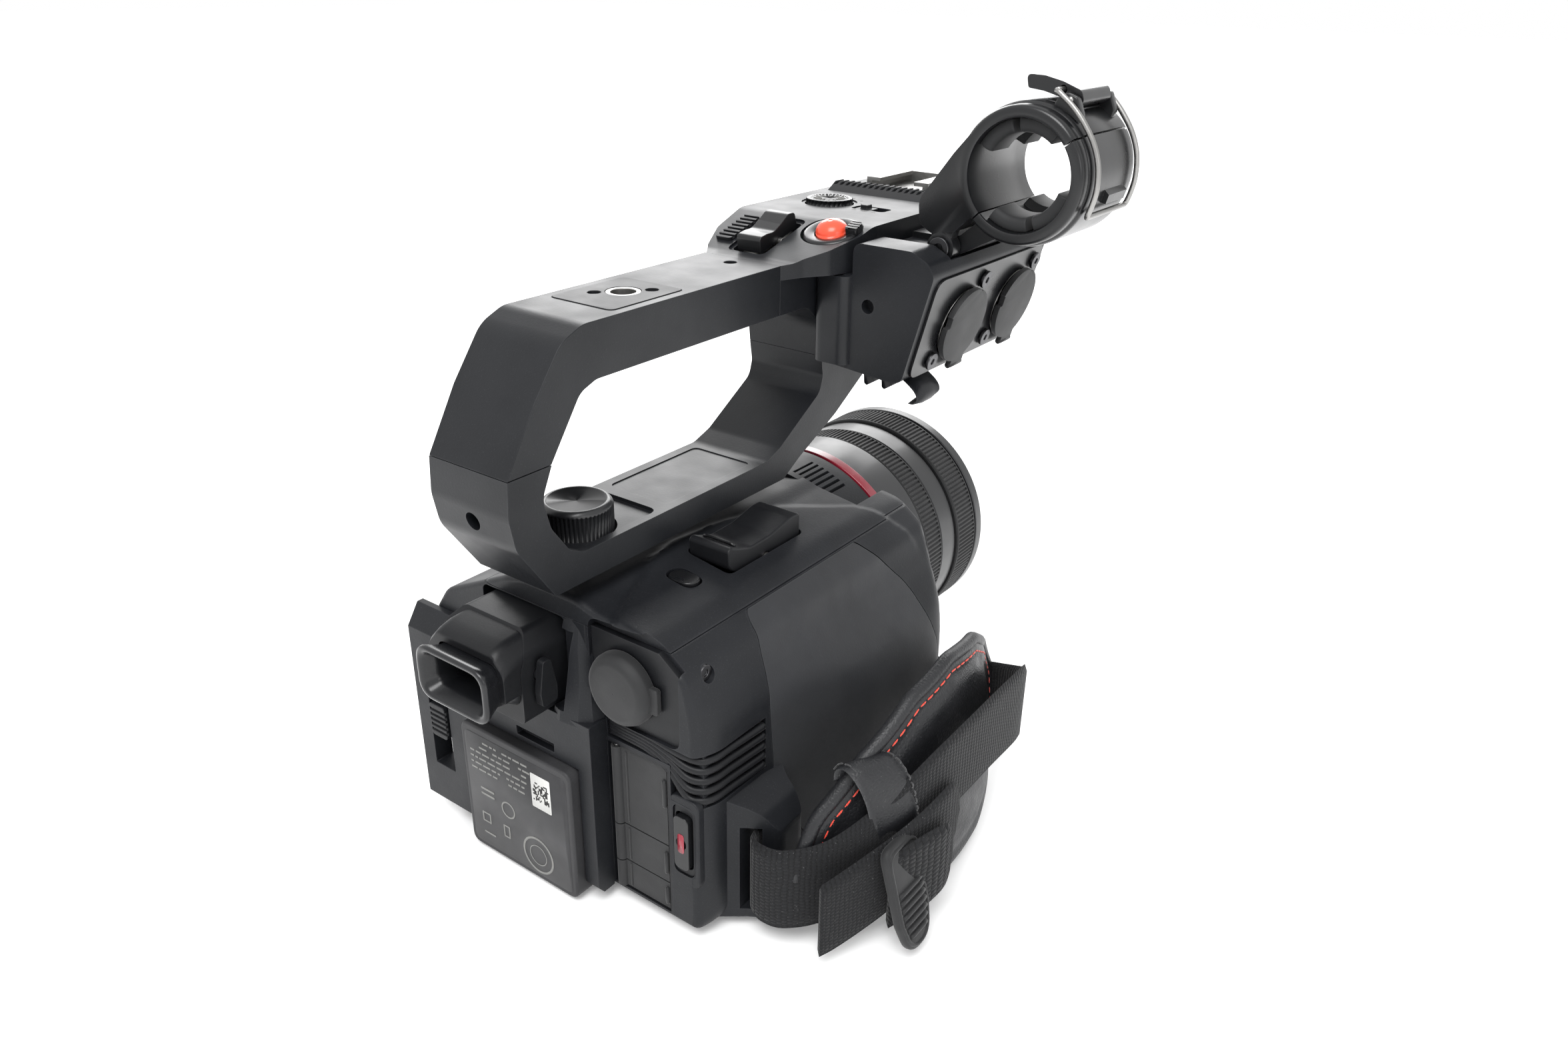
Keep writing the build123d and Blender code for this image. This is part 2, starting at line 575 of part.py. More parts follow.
def handle_neck():
    """Front body of the handle under the control deck, with the recessed audio panel on its left."""
    part = prism_x(NECK, -HANDLE_HALF, HANDLE_HALF)
    part -= prism_x([(-54, 150), (-130, 150), (-130, 134), (-100, 129.8), (-54, 129.8)], -10.8, 10.8)
    part += block(HANDLE_HALF - 0.1, 19.0, -116.0, -62.0, 130.0, 151.8)
    part -= block(16.0, 20.0, -113.0, -65.0, 132.5, 148.6)
    for y in AUDIO_KNOBS:
        part -= cyl_x(y, AUDIO_Z, 1.4, 14.4, 17.0)
    return part


DECK_PLAN = [
    (12.6, -29.0), (17.0, -35.0), (21.5, -45.0), (23.0, -58.0), (23.0, -134.0), (20.0, -138.0),
    (-19.5, -138.0), (-22.5, -134.0), (-24.0, -60.0), (-23.6, -52.0), (-20.0, -42.0), (-16.0, -36.0),
    (-13.2, -29.0),
]
DECK_SIDE = [
    (-29.0, 152.0), (-29.0, 156.0), (-33.0, 156.2), (-58.0, DECK_Z), (-138.0, DECK_Z), (-138.0, 152.0),
]
REC_AT = (-13.6, -52.5)        # x, y of the handle record button
ROCKER_AT = (3.4, -45.0)
DIAL_AT = (7.4, -82.0)
SWITCH_AT = (-8.8, -80.5)
RAMP = degrees(atan2(DECK_Z - 156.2, 25.0))


def ramp_plane(x, y):
    """Plane lying on the sloping rear part of the deck."""
    z = 156.2 + (-33.0 - y) * tan(radians(RAMP))
    return Plane(origin=(x, y, z), x_dir=(1, 0, 0), z_dir=(0, sin(radians(RAMP)), cos(radians(RAMP))))


def on_ramp(x, y, shape):
    """Shape built round the origin, stood on the ramp."""
    return ramp_plane(x, y).location * shape


def control_deck():
    """Wide top of the handle's front that carries the controls."""
    part = prism_z(DECK_PLAN, 140, 180) & prism_x(DECK_SIDE, -40, 40)
    part += thumb_rest() + rib_bar()
    part -= block(-10.8, 12.5, -97.0, -62.0, 150.0, 160.5)
    part -= on_ramp(REC_AT[0], REC_AT[1], Pos(0, 0, -1) * Cylinder(8.9, 5.0))
    part -= on_ramp(ROCKER_AT[0], ROCKER_AT[1], Box(11.0, 20.0, 9.0))
    part -= cyl_z(DIAL_AT[0], DIAL_AT[1], 7.6, 162.2, 165.0)
    part -= block(SWITCH_AT[0] - 5.2, SWITCH_AT[0] + 5.2, -83.2, -77.8, 162.0, 165.0)
    return part - block(-11.6, 11.6, -131.0, -109.2, 162.0, 165.0)


def thumb_rest():
    """Ribbed rest on the left of the deck."""
    part = Pos(0, 0, 0.2) * Box(5.0, 14.0, 1.8)
    for i in range(7):
        part -= Pos(0, -6.0 + 2.0 * i, 0.8) * Box(6.0, 0.9, 0.8)
    return on_ramp(14.2, -45.5, part)


def rib_bar():
    """Raised ribbed bar across the deck behind the accessory shoe."""
    wedge = [(-98.5, DECK_Z - 0.5), (-103.5, 166.0), (-108.0, 166.0), (-108.0, DECK_Z - 0.5)]
    part = prism_x(wedge, -20.0, 20.0)
    for i in range(18):
        x = -18.7 + 2.2 * i
        part -= block(x - 0.5, x + 0.5, -109.0, -102.0, 165.3, 167.0)
    return part


def accessory_shoe():
    """Metal accessory shoe let into the deck."""
    part = block(-11.5, 11.5, -130.9, -109.3, 162.0, 164.2)
    for side in (-1, 1):
        wall = side * (SHOE_GAP / 2 + 1.0)
        lip = side * (SHOE_GAP / 2 - 0.6)
        part += block(wall - 1.0, wall + 1.0, -130.0, -109.3, 164.2, 167.6)
        part += block(lip - 2.6, lip + 2.6, -130.0, -109.3, 166.4, 167.6)
    return part + block(-11.4, 11.4, -130.9, -129.0, 164.2, 167.6)


def handle_rec():
    """Domed handle record button."""
    dome = (Pos(0, 0, -3.2) * Sphere(6.4)) & (Pos(0, 0, 3.0) * Cylinder(4.6, 7.6))
    return on_ramp(REC_AT[0], REC_AT[1], dome)


def hold_lever():
    """Ring with a ribbed tab that turns round the record button to lock it."""
    ring = Pos(0, 0, -0.5) * (Cylinder(8.4, 1.2) - Cylinder(5.0, 3.0))
    tab = Pos(-6.6, -1.2, 1.0) * Box(3.4, 4.6, 1.8)
    for i in range(3):
        tab -= Pos(-6.6, -2.6 + 1.4 * i, 1.9) * Box(4.0, 0.5, 0.6)
    return on_ramp(REC_AT[0], REC_AT[1], ring + tab)


def handle_rocker():
    """Zoom rocker on the handle."""
    outline = [(-9.0, -1.4), (-8.4, 3.6), (-5.0, 4.4), (2.0, 2.6), (8.0, 2.8), (9.0, -1.4), (2.4, -1.4),
               (2.0, -3.0), (-2.0, -3.0), (-2.4, -1.4)]
    part = prism_x(outline, -4.1, 4.1) - Pos(0, 0, -1.4) * Rot(0, 90, 0) * Cylinder(1.25, 20)
    return on_ramp(ROCKER_AT[0], ROCKER_AT[1], part)


def rocker_cradle():
    """Cradle and cross pin of the handle's zoom rocker."""
    part = Pos(0, 0, -1.4) * Rot(0, 90, 0) * Cylinder(1.05, 10.8)
    part += Pos(0, 0, -3.95) * Box(10.8, 19.8, 1.0)
    for x in (-5.1, 5.1):
        part += Pos(x, 0, -2.4) * Box(0.6, 3.0, 2.8)
    return on_ramp(ROCKER_AT[0], ROCKER_AT[1], part)


def function_dial():
    """Knurled function dial with a marked top."""
    part = cyl_z(DIAL_AT[0], DIAL_AT[1], 7.2, 162.6, 164.9)
    part -= cyl_z(DIAL_AT[0], DIAL_AT[1], 5.6, 164.6, 166.0)
    cut = []
    for i in range(32):
        tooth = block(6.9, 8.0, -0.25, 0.25, 163.4, 166.0)
        tooth = Pos(DIAL_AT[0], DIAL_AT[1], 0) * Rot(0, 0, 11.25 * i) * tooth
        cut.append(tooth)
    return part - Compound(children=cut)


def slide_switch():
    """Small slide switch beside the dial."""
    x, y = SWITCH_AT
    foot = block(x - 1.0, x + 4.6, y - 2.2, y + 2.2, 162.4, 163.4)
    return foot + block(x + 0.6, x + 3.0, y - 1.4, y + 1.4, 163.3, 164.6)


# ---- audio controls on the handle's left -----------------------------------------------------
AUDIO_KNOBS = (-104.0, -74.0)
AUDIO_Z = 140.5


def audio_knob(y):
    """One audio level knob."""
    part = cyl_x(y, AUDIO_Z, 4.6, 16.35, 18.6) + cyl_x(y, AUDIO_Z, 1.2, 14.8, 16.4)
    for i in range(16):
        part -= Pos(0, y, AUDIO_Z) * Rot(22.5 * i, 0, 0) * block(16.0, 19.0, -0.3, 0.3, 4.3, 5.2)
    return part


def audio_cover():
    """Clear cover over the audio controls, hinged along its top edge."""
    leaf = block(19.4, 20.6, -115.0, -63.0, 131.0, 149.4)
    return leaf + cyl_y(20.2, 150.2, 1.0, -115.0, -63.0)


# ---- balanced audio inputs -------------------------------------------------------------------
PANEL = Plane(origin=(XLR_PANEL_X, 0, XLR_Z), x_dir=(0, 1, 0),
              z_dir=(-cos(radians(XLR_TILT)), 0, -sin(radians(XLR_TILT))))


def on_panel(y, shape):
    """Shape built on the socket panel, at one distance along it."""
    return PANEL.location * (Pos(y, 0, 0) * shape)


def xlr_housing():
    """Box on the right of the handle that holds the audio sockets, with cable clips below."""
    outline = [(-HANDLE_HALF, 126.0), (-HANDLE_HALF, 151.9), (-24.6, 151.9), (-24.6, 161.0), (-43.5, 161.0),
               (-48.0, 158.6), (-50.2, 155.0), (-41.8, 124.0), (-36.0, 124.0)]
    part = prism_y(outline, XLR_FRONT_Y, -47.0) + cable_hooks()
    part -= block(-52.0, -24.5, -98.5, -58.5, 157.6, 162.0)
    part -= cyl_y(CLAMP_HINGE[0], CLAMP_HINGE[1], 4.5, -64.6, -58.5)
    part -= on_panel(-82.0, Pos(0, -1.5, -9.4) * Box(62.0, 27.0, 19.0))
    part -= on_panel(-82.0, Pos(0, -1.5, 3.0) * Box(65.1, 30.1, 6.0))
    return part - cyl_y(-30.0, 144.0, 1.9, -50.0, -46.0)


def xlr_panel():
    """Face plate round the two sockets."""
    plate = Pos(0, -1.5, 0.8) * Box(65.0, 30.0, 1.6)
    plate = fillet(plate.edges().filter_by(Axis.Z), 3.0)
    part = on_panel(-82.0, plate)
    for y in XLR_Y:
        part -= on_panel(y, Cylinder(10.6, 8.0))
    for y, v in xlr_screw_spots():
        part -= on_panel(y, Pos(0, v, 0) * Cylinder(1.55, 8.0))
    return part


def xlr_screw_spots():
    """Along-panel and down-panel positions of the socket screws."""
    spots = []
    for y in XLR_Y:
        spots.append((y + 11.0, 9.4))
        spots.append((y - 7.6, -12.0))
    return spots


def sockets():
    """Coaxial socket on the rear and the two audio sockets with their contacts."""
    pieces = [sdi_socket()]
    for y in XLR_Y:
        body = Pos(0, 0, -7.0) * (Cylinder(10.2, 17.0) - Pos(0, 0, 2.0) * Cylinder(9.2, 15.0))
        for i in range(3):
            body += Rot(0, 0, 120 * i + 30) * Pos(4.6, 0, -8.0) * Cylinder(1.1, 12.0)
        pieces.append(on_panel(y, body))
    return group(*pieces)


def socket_screws():
    """Screws that hold the audio sockets."""
    pieces = []
    for y, v in xlr_screw_spots():
        head = Pos(0, v, 2.05) * (Cylinder(2.6, 0.9) - Pos(0, 0, 0.3) * Cylinder(0.9, 1.0))
        pieces.append(on_panel(y, head + Pos(0, v, 0.2) * Cylinder(1.5, 2.8)))
    return pieces


def xlr_cover(y):
    """Rubber cover over one audio socket, hinged at its lower edge."""
    cap = Pos(0, 0, 3.0) * Cylinder(11.2, 1.6)
    cap -= Pos(11.0, 9.4, 3.0) * Cylinder(3.2, 4.0) + Pos(-7.6, -12.4, 3.0) * Cylinder(3.2, 4.0)
    tongue = Pos(-2.0, 10.6, 3.0) * Box(7.0, 4.0, 1.6)
    return on_panel(y, cap + tongue + Pos(-2.0, 12.8, 3.0) * Rot(0, 90, 0) * Cylinder(0.95, 7.0))


def cable_hooks():
    """Cable clips under the audio box."""
    part = prism_y([(-36.5, 125.0), (-41.6, 125.0), (-45.5, 121.0), (-45.5, 118.0), (-42.0, 116.2),
                    (-42.0, 117.8), (-43.4, 119.0), (-43.4, 120.4), (-40.4, 121.8),
                    (-36.5, 121.8)], -66.0, -52.0)
    for x in (-25.0, -31.0):
        part += prism_y([(x, 126.0), (x - 2.4, 126.0), (x - 2.4, 119.8), (x - 1.0, 118.6)], -64.0, -54.0)
    return part


# ---- microphone clamp ------------------------------------------------------------------------
MIC_Y = (-95.0, -60.0)
SPLIT_HIGH = 36.0          # angle of the clamp's open joint above -X, degrees
SPLIT_LOW = -134.5         # angle of the joint beside the hinge, degrees
WIRE_Y = (-64.5, -90.1)    # the two wires of the bail
BAR_ANGLE = -26.0          # where the bail's lower bar rests


def polar(angle, radius):
    """Point in X and Z at an angle from -X towards +Z round the clamp axis."""
    return (MIC_X - radius * cos(radians(angle)), MIC_Z + radius * sin(radians(angle)))


def ring_mask(start, stop, gap):
    """Wedge of the clamp ring between two angles, as a prism along Y."""
    points = [(MIC_X, MIC_Z)]
    steps = 12
    for i in range(steps + 1):
        a = start + gap + (stop - start - 2 * gap) * i / steps
        points.append(polar(a, 40.0))
    return prism_y(points, -120, -40)


def clamp_ring():
    """Whole clamp ring with its raised middle band."""
    ring = cyl_y(MIC_X, MIC_Z, MIC_R - 0.9, MIC_Y[0], MIC_Y[1])
    ring += cyl_y(MIC_X, MIC_Z, MIC_R, MIC_Y[0] + 4.0, MIC_Y[1] - 4.5)
    return ring - cyl_y(MIC_X, MIC_Z, MIC_BORE_R, -120, -40)


def mic_base():
    """Fixed lower half of the microphone clamp, with its foot on the audio box and its pads."""
    part = clamp_ring() & ring_mask(SPLIT_LOW, SPLIT_HIGH, 0.8)
    arm = prism_y([(-40.6, 157.6), (-47.0, 157.6), (-58.0, 163.8), (-62.0, 166.4), (-56.0, 170.6),
                   (-53.6, 168.9), (-47.4, 163.0), (-42.0, 163.0)], -94.6, -64.6)
    part += arm - cyl_y(MIC_X, MIC_Z, MIC_BORE_R + 0.5, -120, -40)
    part += block(-45.8, -25.0, -96.0, -78.0, 157.6, 159.4)
    catch = [polar(-8, 18.0), polar(-12, 20.0), polar(-19, 20.0), polar(-19, 18.0)]
    part += prism_y(catch, -86.0, -74.0)
    part -= cyl_y(CLAMP_HINGE[0], CLAMP_HINGE[1], 2.2, -120, -40)
    return group(part, *[pad_at(a) for a in (-100.0, -45.0, 10.0)])


def mic_clamp():
    """Hinged upper half of the microphone clamp, with the lever's ears and its pads."""
    x, z = CLAMP_HINGE
    part = clamp_ring() & ring_mask(SPLIT_HIGH, 360.0 + SPLIT_LOW, 0.8)
    part += prism_y([(-41.0, 163.9), (-36.4, 165.6), (-35.4, 172.0), (-46.0, 185.0), (-52.0, 192.0),
                     (-58.0, 190.0), (-51.8, 174.0), (-54.3, 170.6), (-47.6, 164.6)], -94.6, -60.4)
    part += cyl_y(x, z, 3.9, -64.2, -60.4)
    part += prism_y([(-46.6, 162.0), (-41.4, 162.0), (-41.0, 166.0), (-47.4, 165.6)], -64.2, -60.4)
    part += lever_ears()
    part -= cyl_y(MIC_X, MIC_Z, MIC_BORE_R, -120, -40) + cyl_y(x, z, 2.4, -66.0, -59.0)
    return group(part, *[pad_at(a) for a in (70.0, 125.0, 185.0)])


def pad_at(angle):
    """One rubber pad with a curved gripping face."""
    wedge = [(MIC_X, MIC_Z)]
    for i in range(5):
        wedge.append(polar(angle - 20.0 + 10.0 * i, 30.0))
    ring = cyl_y(MIC_X, MIC_Z, MIC_BORE_R - 0.02, -92.0, -63.0) - cyl_y(MIC_X, MIC_Z, MIC_PAD_R, -120, -40)
    return ring & prism_y(wedge, -120, -40)


def clamp_screw():
    """Hinge screw of the microphone clamp."""
    x, z = CLAMP_HINGE
    head = cyl_y(x, z, 3.0, -60.2, -59.2) - cyl_y(x, z, 1.3, -60.0, -58.0)
    return cyl_y(x, z, 2.15, -94.0, -60.2) + head


LEVER_PIVOT = (-74.6, 199.9)
BAIL_PIN = (-71.2, 202.0)


def latch_lever():
    """Over-centre lever on top of the clamp."""
    x, z = LEVER_PIVOT
    outline = [(-60.9, 205.2), (-66.0, 205.0), (-71.0, 203.8), (-76.4, 201.8), (-77.0, 199.0), (-74.0, 198.0),
               (-70.0, 200.2), (-65.0, 201.4), (-61.4, 201.6)]
    part = prism_y(outline, -86.0, -68.6)
    return part - cyl_y(x, z, 1.0, -100, -50) - cyl_y(BAIL_PIN[0], BAIL_PIN[1], 1.05, -100, -50)


def lever_ears():
    """Ears and pin that carry the latch lever."""
    x, z = LEVER_PIVOT
    outline = [(-71.0, 199.2), (-73.6, 201.2), (-76.0, 200.6), (-77.4, 196.4), (-76.0, 192.0), (-70.6, 194.4)]
    part = prism_y(outline, -68.2, -65.6) + prism_y(outline, -89.0, -86.4)
    return part + cyl_y(x, z, 0.8, -89.0, -65.6)


def latch_bail():
    """Wire bail from the lever down to the catch."""
    points = [BAIL_PIN, polar(58, 20.9), polar(44, 20.0), polar(28, 19.9), polar(12, 19.9), polar(-4, 19.9),
              polar(-16, 19.9), polar(BAR_ANGLE, 19.9)]
    body = cyl_y(points[0][0], points[0][1], 0.8, WIRE_Y[1], WIRE_Y[0])
    body += cyl_y(points[-1][0], points[-1][1], 0.8, WIRE_Y[1], WIRE_Y[0])
    for y in WIRE_Y:
        for a, b in zip(points, points[1:]):
            body += rod(a, b, y)
    return body


def rod(a, b, y):
    """Round wire between two points of X and Z in a plane of constant Y, with round ends."""
    length = hypot(b[0] - a[0], b[1] - a[1])
    angle = degrees(atan2(b[0] - a[0], b[1] - a[1]))
    bar = Pos((a[0] + b[0]) / 2, y, (a[1] + b[1]) / 2) * Rot(0, angle, 0) * Cylinder(0.8, length)
    return bar + Pos(a[0], y, a[1]) * Sphere(0.8) + Pos(b[0], y, b[1]) * Sphere(0.8)


# ---- hand strap ------------------------------------------------------------------------------
PAD_TOP = [                    # inner face of the pad along its top, seen from above
    (-60.5, 35.0), (-66.5, 27.0), (-72.0, 16.0), (-75.5, 2.0), (-76.0, -14.0), (-73.5, -32.0),
    (-68.5, -47.0), (-63.6, -56.0),
]
LEAN = 8.0                     # how far the pad leans out from its top to its bottom
BAND_PATH = [                  # inner face of the webbing, seen from above
    (-66.0, -59.5), (-76.0, -57.5), (-84.0, -52.5), (-87.6, -44.0), (-88.6, -28.0), (-88.6, -10.0),
    (-87.6, 4.0), (-82.6, 19.0), (-75.0, 31.0), (-67.4, 38.6), (-61.6, 40.2), (-57.6, 38.4), (-56.4, 34.0),
]


def offset_path(path, t):
    """Path moved sideways by t, away from the body."""
    sign = 1 if path[0][1] > path[-1][1] else -1
    moved = []
    for i, (x, y) in enumerate(path):
        ax, ay = path[max(i - 1, 0)]
        bx, by = path[min(i + 1, len(path) - 1)]
        n = sign * hypot(bx - ax, by - ay)
        moved.append((x - t * (ay - by) / n, y + t * (ax - bx) / n))
    return moved


def band(path, inner, outer):
    """Outline of a band between two distances from a path."""
    return offset_path(path, inner) + offset_path(path, outer)[::-1]


def leaning(outline, z0, z1):
    """Upright band that leans outwards towards its lower edge."""
    face = Plane(origin=(0, 0, z1)) * Polygon(*outline, align=None)
    slope = LEAN / 62.0
    return extrude(face, amount=(z1 - z0) * hypot(1, slope), dir=(-slope, 0, -1))


def strap_pad():
    """Padded back of the hand strap, kept inside the webbing."""
    pad = leaning(band(PAD_TOP, 0.0, 6.0), 2.0, 66.0)
    side = [(38, 8), (39, 24), (31, 36), (19, 50), (2, 62), (-16, 65), (-36, 60), (-50, 51), (-60, 38),
            (-60, 18), (-50, 7), (-30, 2.4), (8, 2.4), (26, 3.2)]
    pad = pad & prism_x(side, -120, -50)
    return pad - prism_z(band(BAND_PATH, -0.4, 12.0), 0, 80)


def strap_webbing():
    """Adjustable webbing through the rear strap lug, with its folded tail and pull tab."""
    side = [(-70, 12), (-70, 34), (-55, 44), (-46, 54), (0, 53.4), (14, 49), (31, 33), (33, 31.6),
            (50, 31.6), (50, 6.4),
            (31, 6.4), (12, 21), (0, 28), (-46, 28), (-56, 16)]
    part = prism_z(band(BAND_PATH, 0.0, 1.8), 4.0, 56.0) & prism_x(side, -120, -50)
    fold = [(2, 26), (2, 46), (14, 42), (26, 32), (34, 29), (34, 6.6), (26, 7), (14, 18)]
    part += prism_z(band(BAND_PATH[5:9], 1.7, 3.6), 4.0, 56.0) & prism_x(fold, -120, -50)
    tab = [(-86.0, 33.0), (-88.8, 33.0), (-96.8, 3.0), (-95.6, 1.0), (-93.8, 1.0), (-92.6, 3.0)]
    return part + prism_y(tab, 13.0, 27.0)


def strap_lugs():
    """Rear and front lugs that the hand strap is held by."""
    rear = block(-62.5, -50.0, 22.4, 36.0, 3.0, 39.0)
    rear = rear & prism_y([(-49.0, 3.0), (-62.5, 5.0), (-62.5, 34.0), (-49.0, 39.6)], 0, 60)
    return rear + block(-64.0, -50.0, -58.0, -51.0, 14.0, 36.0)


# ---- fasteners -------------------------------------------------------------------------------
def screws():
    """Recessed screws of the body and the base, the socket screws and the clamp's hinge screw."""
    pieces = [cyl_x(42.5, 76.0, 2.1, -45.4, -44.2) - cyl_x(42.5, 76.0, 0.9, -48.0, -44.9)]
    for x, y in BASE_SCREWS:
        pieces.append(cyl_z(x, y, 2.15, 0.3, 1.2) - cyl_z(x, y, 0.8, 0.0, 0.8))
    return group(clamp_screw(), *pieces, *socket_screws())


# ---- all pieces ------------------------------------------------------------------------------
def main():
    """Build every piece and write it out."""
    os.makedirs("parts", exist_ok=True)
    shell = housing()
    save("left_shell", left_shell(shell))
    save("grip_shell", grip_shell(shell))
    save("top_cover", top_cover(shell))
    save("base_plate", base_plate())
    save("threaded_inserts", threaded_inserts())
    save("palm_panel", palm_panel())
    save("vent_grille", vent_grille())
    save("mic_grilles", mic_grilles())
    save("rear_bezel", rear_bezel())
    save("battery", battery())
    save("battery_catch", battery_catch())
    save("rear_panels", rear_panels())
    save("video_door", door(26.0, 49.9))
    save("headphone_door", door(14.0, 25.6))
    save("power_door", door(5.1, 13.6))
    save("sdi_cap", sdi_cap())
    save("sockets", sockets())
    save("rec_button", rec_button())
    save("user_button", user_button())
    save("zoom_rocker", zoom_rocker())
    save("lens_barrel", lens_barrel())
    save("accent_ring", accent_ring())
    save("zoom_ring", zoom_ring())
    save("focus_ring", focus_ring())
    save("front_bezel", front_bezel())
    save("glass_elements", glass_elements())
    save("optics_core", optics_core())
    save("electronics", electronics())
    save("finder_housing", finder_housing())
    save("finder_eyecup", finder_eyecup())
    save("diopter_lever", diopter_lever())
    save("screen_hinge", screen_hinge())
    save("screen_panel", screen_panel())
    save("handle_foot", handle_foot())
    save("handle_grip", handle_grip())
    save("handle_plate", handle_plate())
    save("lock_knob", lock_knob())
    save("handle_neck", handle_neck())
    save("control_deck", control_deck())
    save("accessory_shoe", accessory_shoe())
    save("handle_rec", handle_rec())
    save("hold_lever", hold_lever())
    save("handle_rocker", handle_rocker())
    save("function_dial", function_dial())
    save("slide_switch", slide_switch())
    save("audio_knob_front", audio_knob(AUDIO_KNOBS[0]))
    save("audio_knob_rear", audio_knob(AUDIO_KNOBS[1]))
    save("audio_cover", audio_cover())
    save("xlr_housing", xlr_housing())
    save("xlr_panel", xlr_panel())
    save("xlr_cover_rear", xlr_cover(XLR_Y[0]))
    save("xlr_cover_front", xlr_cover(XLR_Y[1]))
    save("mic_base", mic_base())
    save("mic_clamp", mic_clamp())
    save("latch_lever", latch_lever())
    save("latch_bail", latch_bail())
    save("strap_pad", strap_pad())
    save("strap_webbing", strap_webbing())
    save("hinge_pins", hinge_pins())
    save("screws", screws())


main()
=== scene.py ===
"""Looks of a compact camcorder with a top handle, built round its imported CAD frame. Metres."""
import math
import random

import bmesh
import bpy
import numpy as np
from mathutils import Matrix, Vector


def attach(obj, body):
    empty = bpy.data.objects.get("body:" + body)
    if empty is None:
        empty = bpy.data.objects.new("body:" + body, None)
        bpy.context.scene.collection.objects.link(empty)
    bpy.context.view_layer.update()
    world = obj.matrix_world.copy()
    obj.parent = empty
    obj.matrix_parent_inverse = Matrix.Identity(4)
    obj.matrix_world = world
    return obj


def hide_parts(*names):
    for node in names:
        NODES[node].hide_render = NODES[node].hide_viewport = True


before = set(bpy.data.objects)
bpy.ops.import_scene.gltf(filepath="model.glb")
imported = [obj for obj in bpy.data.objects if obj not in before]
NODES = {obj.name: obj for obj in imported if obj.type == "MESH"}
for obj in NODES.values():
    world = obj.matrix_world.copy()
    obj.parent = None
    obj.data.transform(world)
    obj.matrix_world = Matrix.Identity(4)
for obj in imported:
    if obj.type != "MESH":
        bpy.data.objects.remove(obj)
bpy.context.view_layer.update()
MM = 0.001


# ---- materials -------------------------------------------------------------------------------
class Graph:
    """A material's node tree, with one short call per node."""

    def __init__(self, name):
        self.mat = bpy.data.materials.new(name)
        self.mat.use_nodes = True
        self.tree = self.mat.node_tree
        self.bsdf = self.tree.nodes["Principled BSDF"]
        self.coord = self.tree.nodes.new("ShaderNodeTexCoord")

    def add(self, kind, inputs=(), **settings):
        node = self.tree.nodes.new(kind)
        for key, value in settings.items():
            setattr(node, key, value)
        for key, value in dict(inputs).items():
            self.plug(node.inputs[key], value)
        return node

    def plug(self, socket, value):
        if isinstance(value, bpy.types.NodeSocket):
            self.tree.links.new(value, socket)
        else:
            socket.default_value = value

    def noise(self, scale, detail=2.0, rough=0.5, vector=None):
        vector = vector or self.coord.outputs["Object"]
        inputs = {"Vector": vector, "Scale": scale, "Detail": detail, "Roughness": rough}
        return self.add("ShaderNodeTexNoise", inputs).outputs["Fac"]

    def ramp(self, fac, stops):
        node = self.add("ShaderNodeValToRGB", {"Fac": fac})
        ramp = node.color_ramp
        while len(ramp.elements) < len(stops):
            ramp.elements.new(0.5)
        for element, (at, colour) in zip(ramp.elements, stops):
            element.position = at
            element.color = colour if len(colour) == 4 else (*colour, 1.0)
        return node.outputs["Color"]

    def span(self, fac, low, high, a=0.0, b=1.0):
        inputs = {"Value": fac, "From Min": a, "From Max": b, "To Min": low, "To Max": high}
        return self.add("ShaderNodeMapRange", inputs).outputs["Result"]

    def math(self, operation, a, b=0.0, c=0.0):
        node = self.add("ShaderNodeMath", operation=operation)
        for socket, value in zip(node.inputs, (a, b, c)):
            self.plug(socket, value)
        return node.outputs[0]

    def times(self, a, b):
        return self.math("MULTIPLY", a, b)

    def plus(self, a, b):
        return self.math("ADD", a, b)

    def mix(self, fac, a, b):
        node = self.add("ShaderNodeMix", data_type="RGBA")
        self.plug(node.inputs["Factor"], fac)
        self.plug(node.inputs["A"], a)
        self.plug(node.inputs["B"], b)
        return node.outputs["Result"]

    def bump(self, height, strength, distance, normal=None):
        node = self.add("ShaderNodeBump", {"Height": height, "Strength": strength, "Distance": distance})
        if normal is not None:
            self.plug(node.inputs["Normal"], normal)
        return node.outputs["Normal"]

    def edges(self, radius=0.0006):
        """0 on flats and up to 1 along rounded edges."""
        bevel = self.add("ShaderNodeBevel", {"Radius": radius}, samples=4)
        geometry = self.add("ShaderNodeNewGeometry")
        dot = self.add("ShaderNodeVectorMath", operation="DOT_PRODUCT")
        self.plug(dot.inputs[0], bevel.outputs["Normal"])
        self.plug(dot.inputs[1], geometry.outputs["Normal"])
        return self.span(dot.outputs["Value"], 1.0, 0.0, 0.86, 0.995)

    def set(self, **sockets):
        for key, value in sockets.items():
            self.plug(self.bsdf.inputs[key.replace("_", " ")], value)
        return self.mat


def tint(colour, gain, lift=0.0):
    """A colour made darker or paler, with its alpha."""
    return (*[min(1.0, c * gain + lift) for c in colour], 1.0)


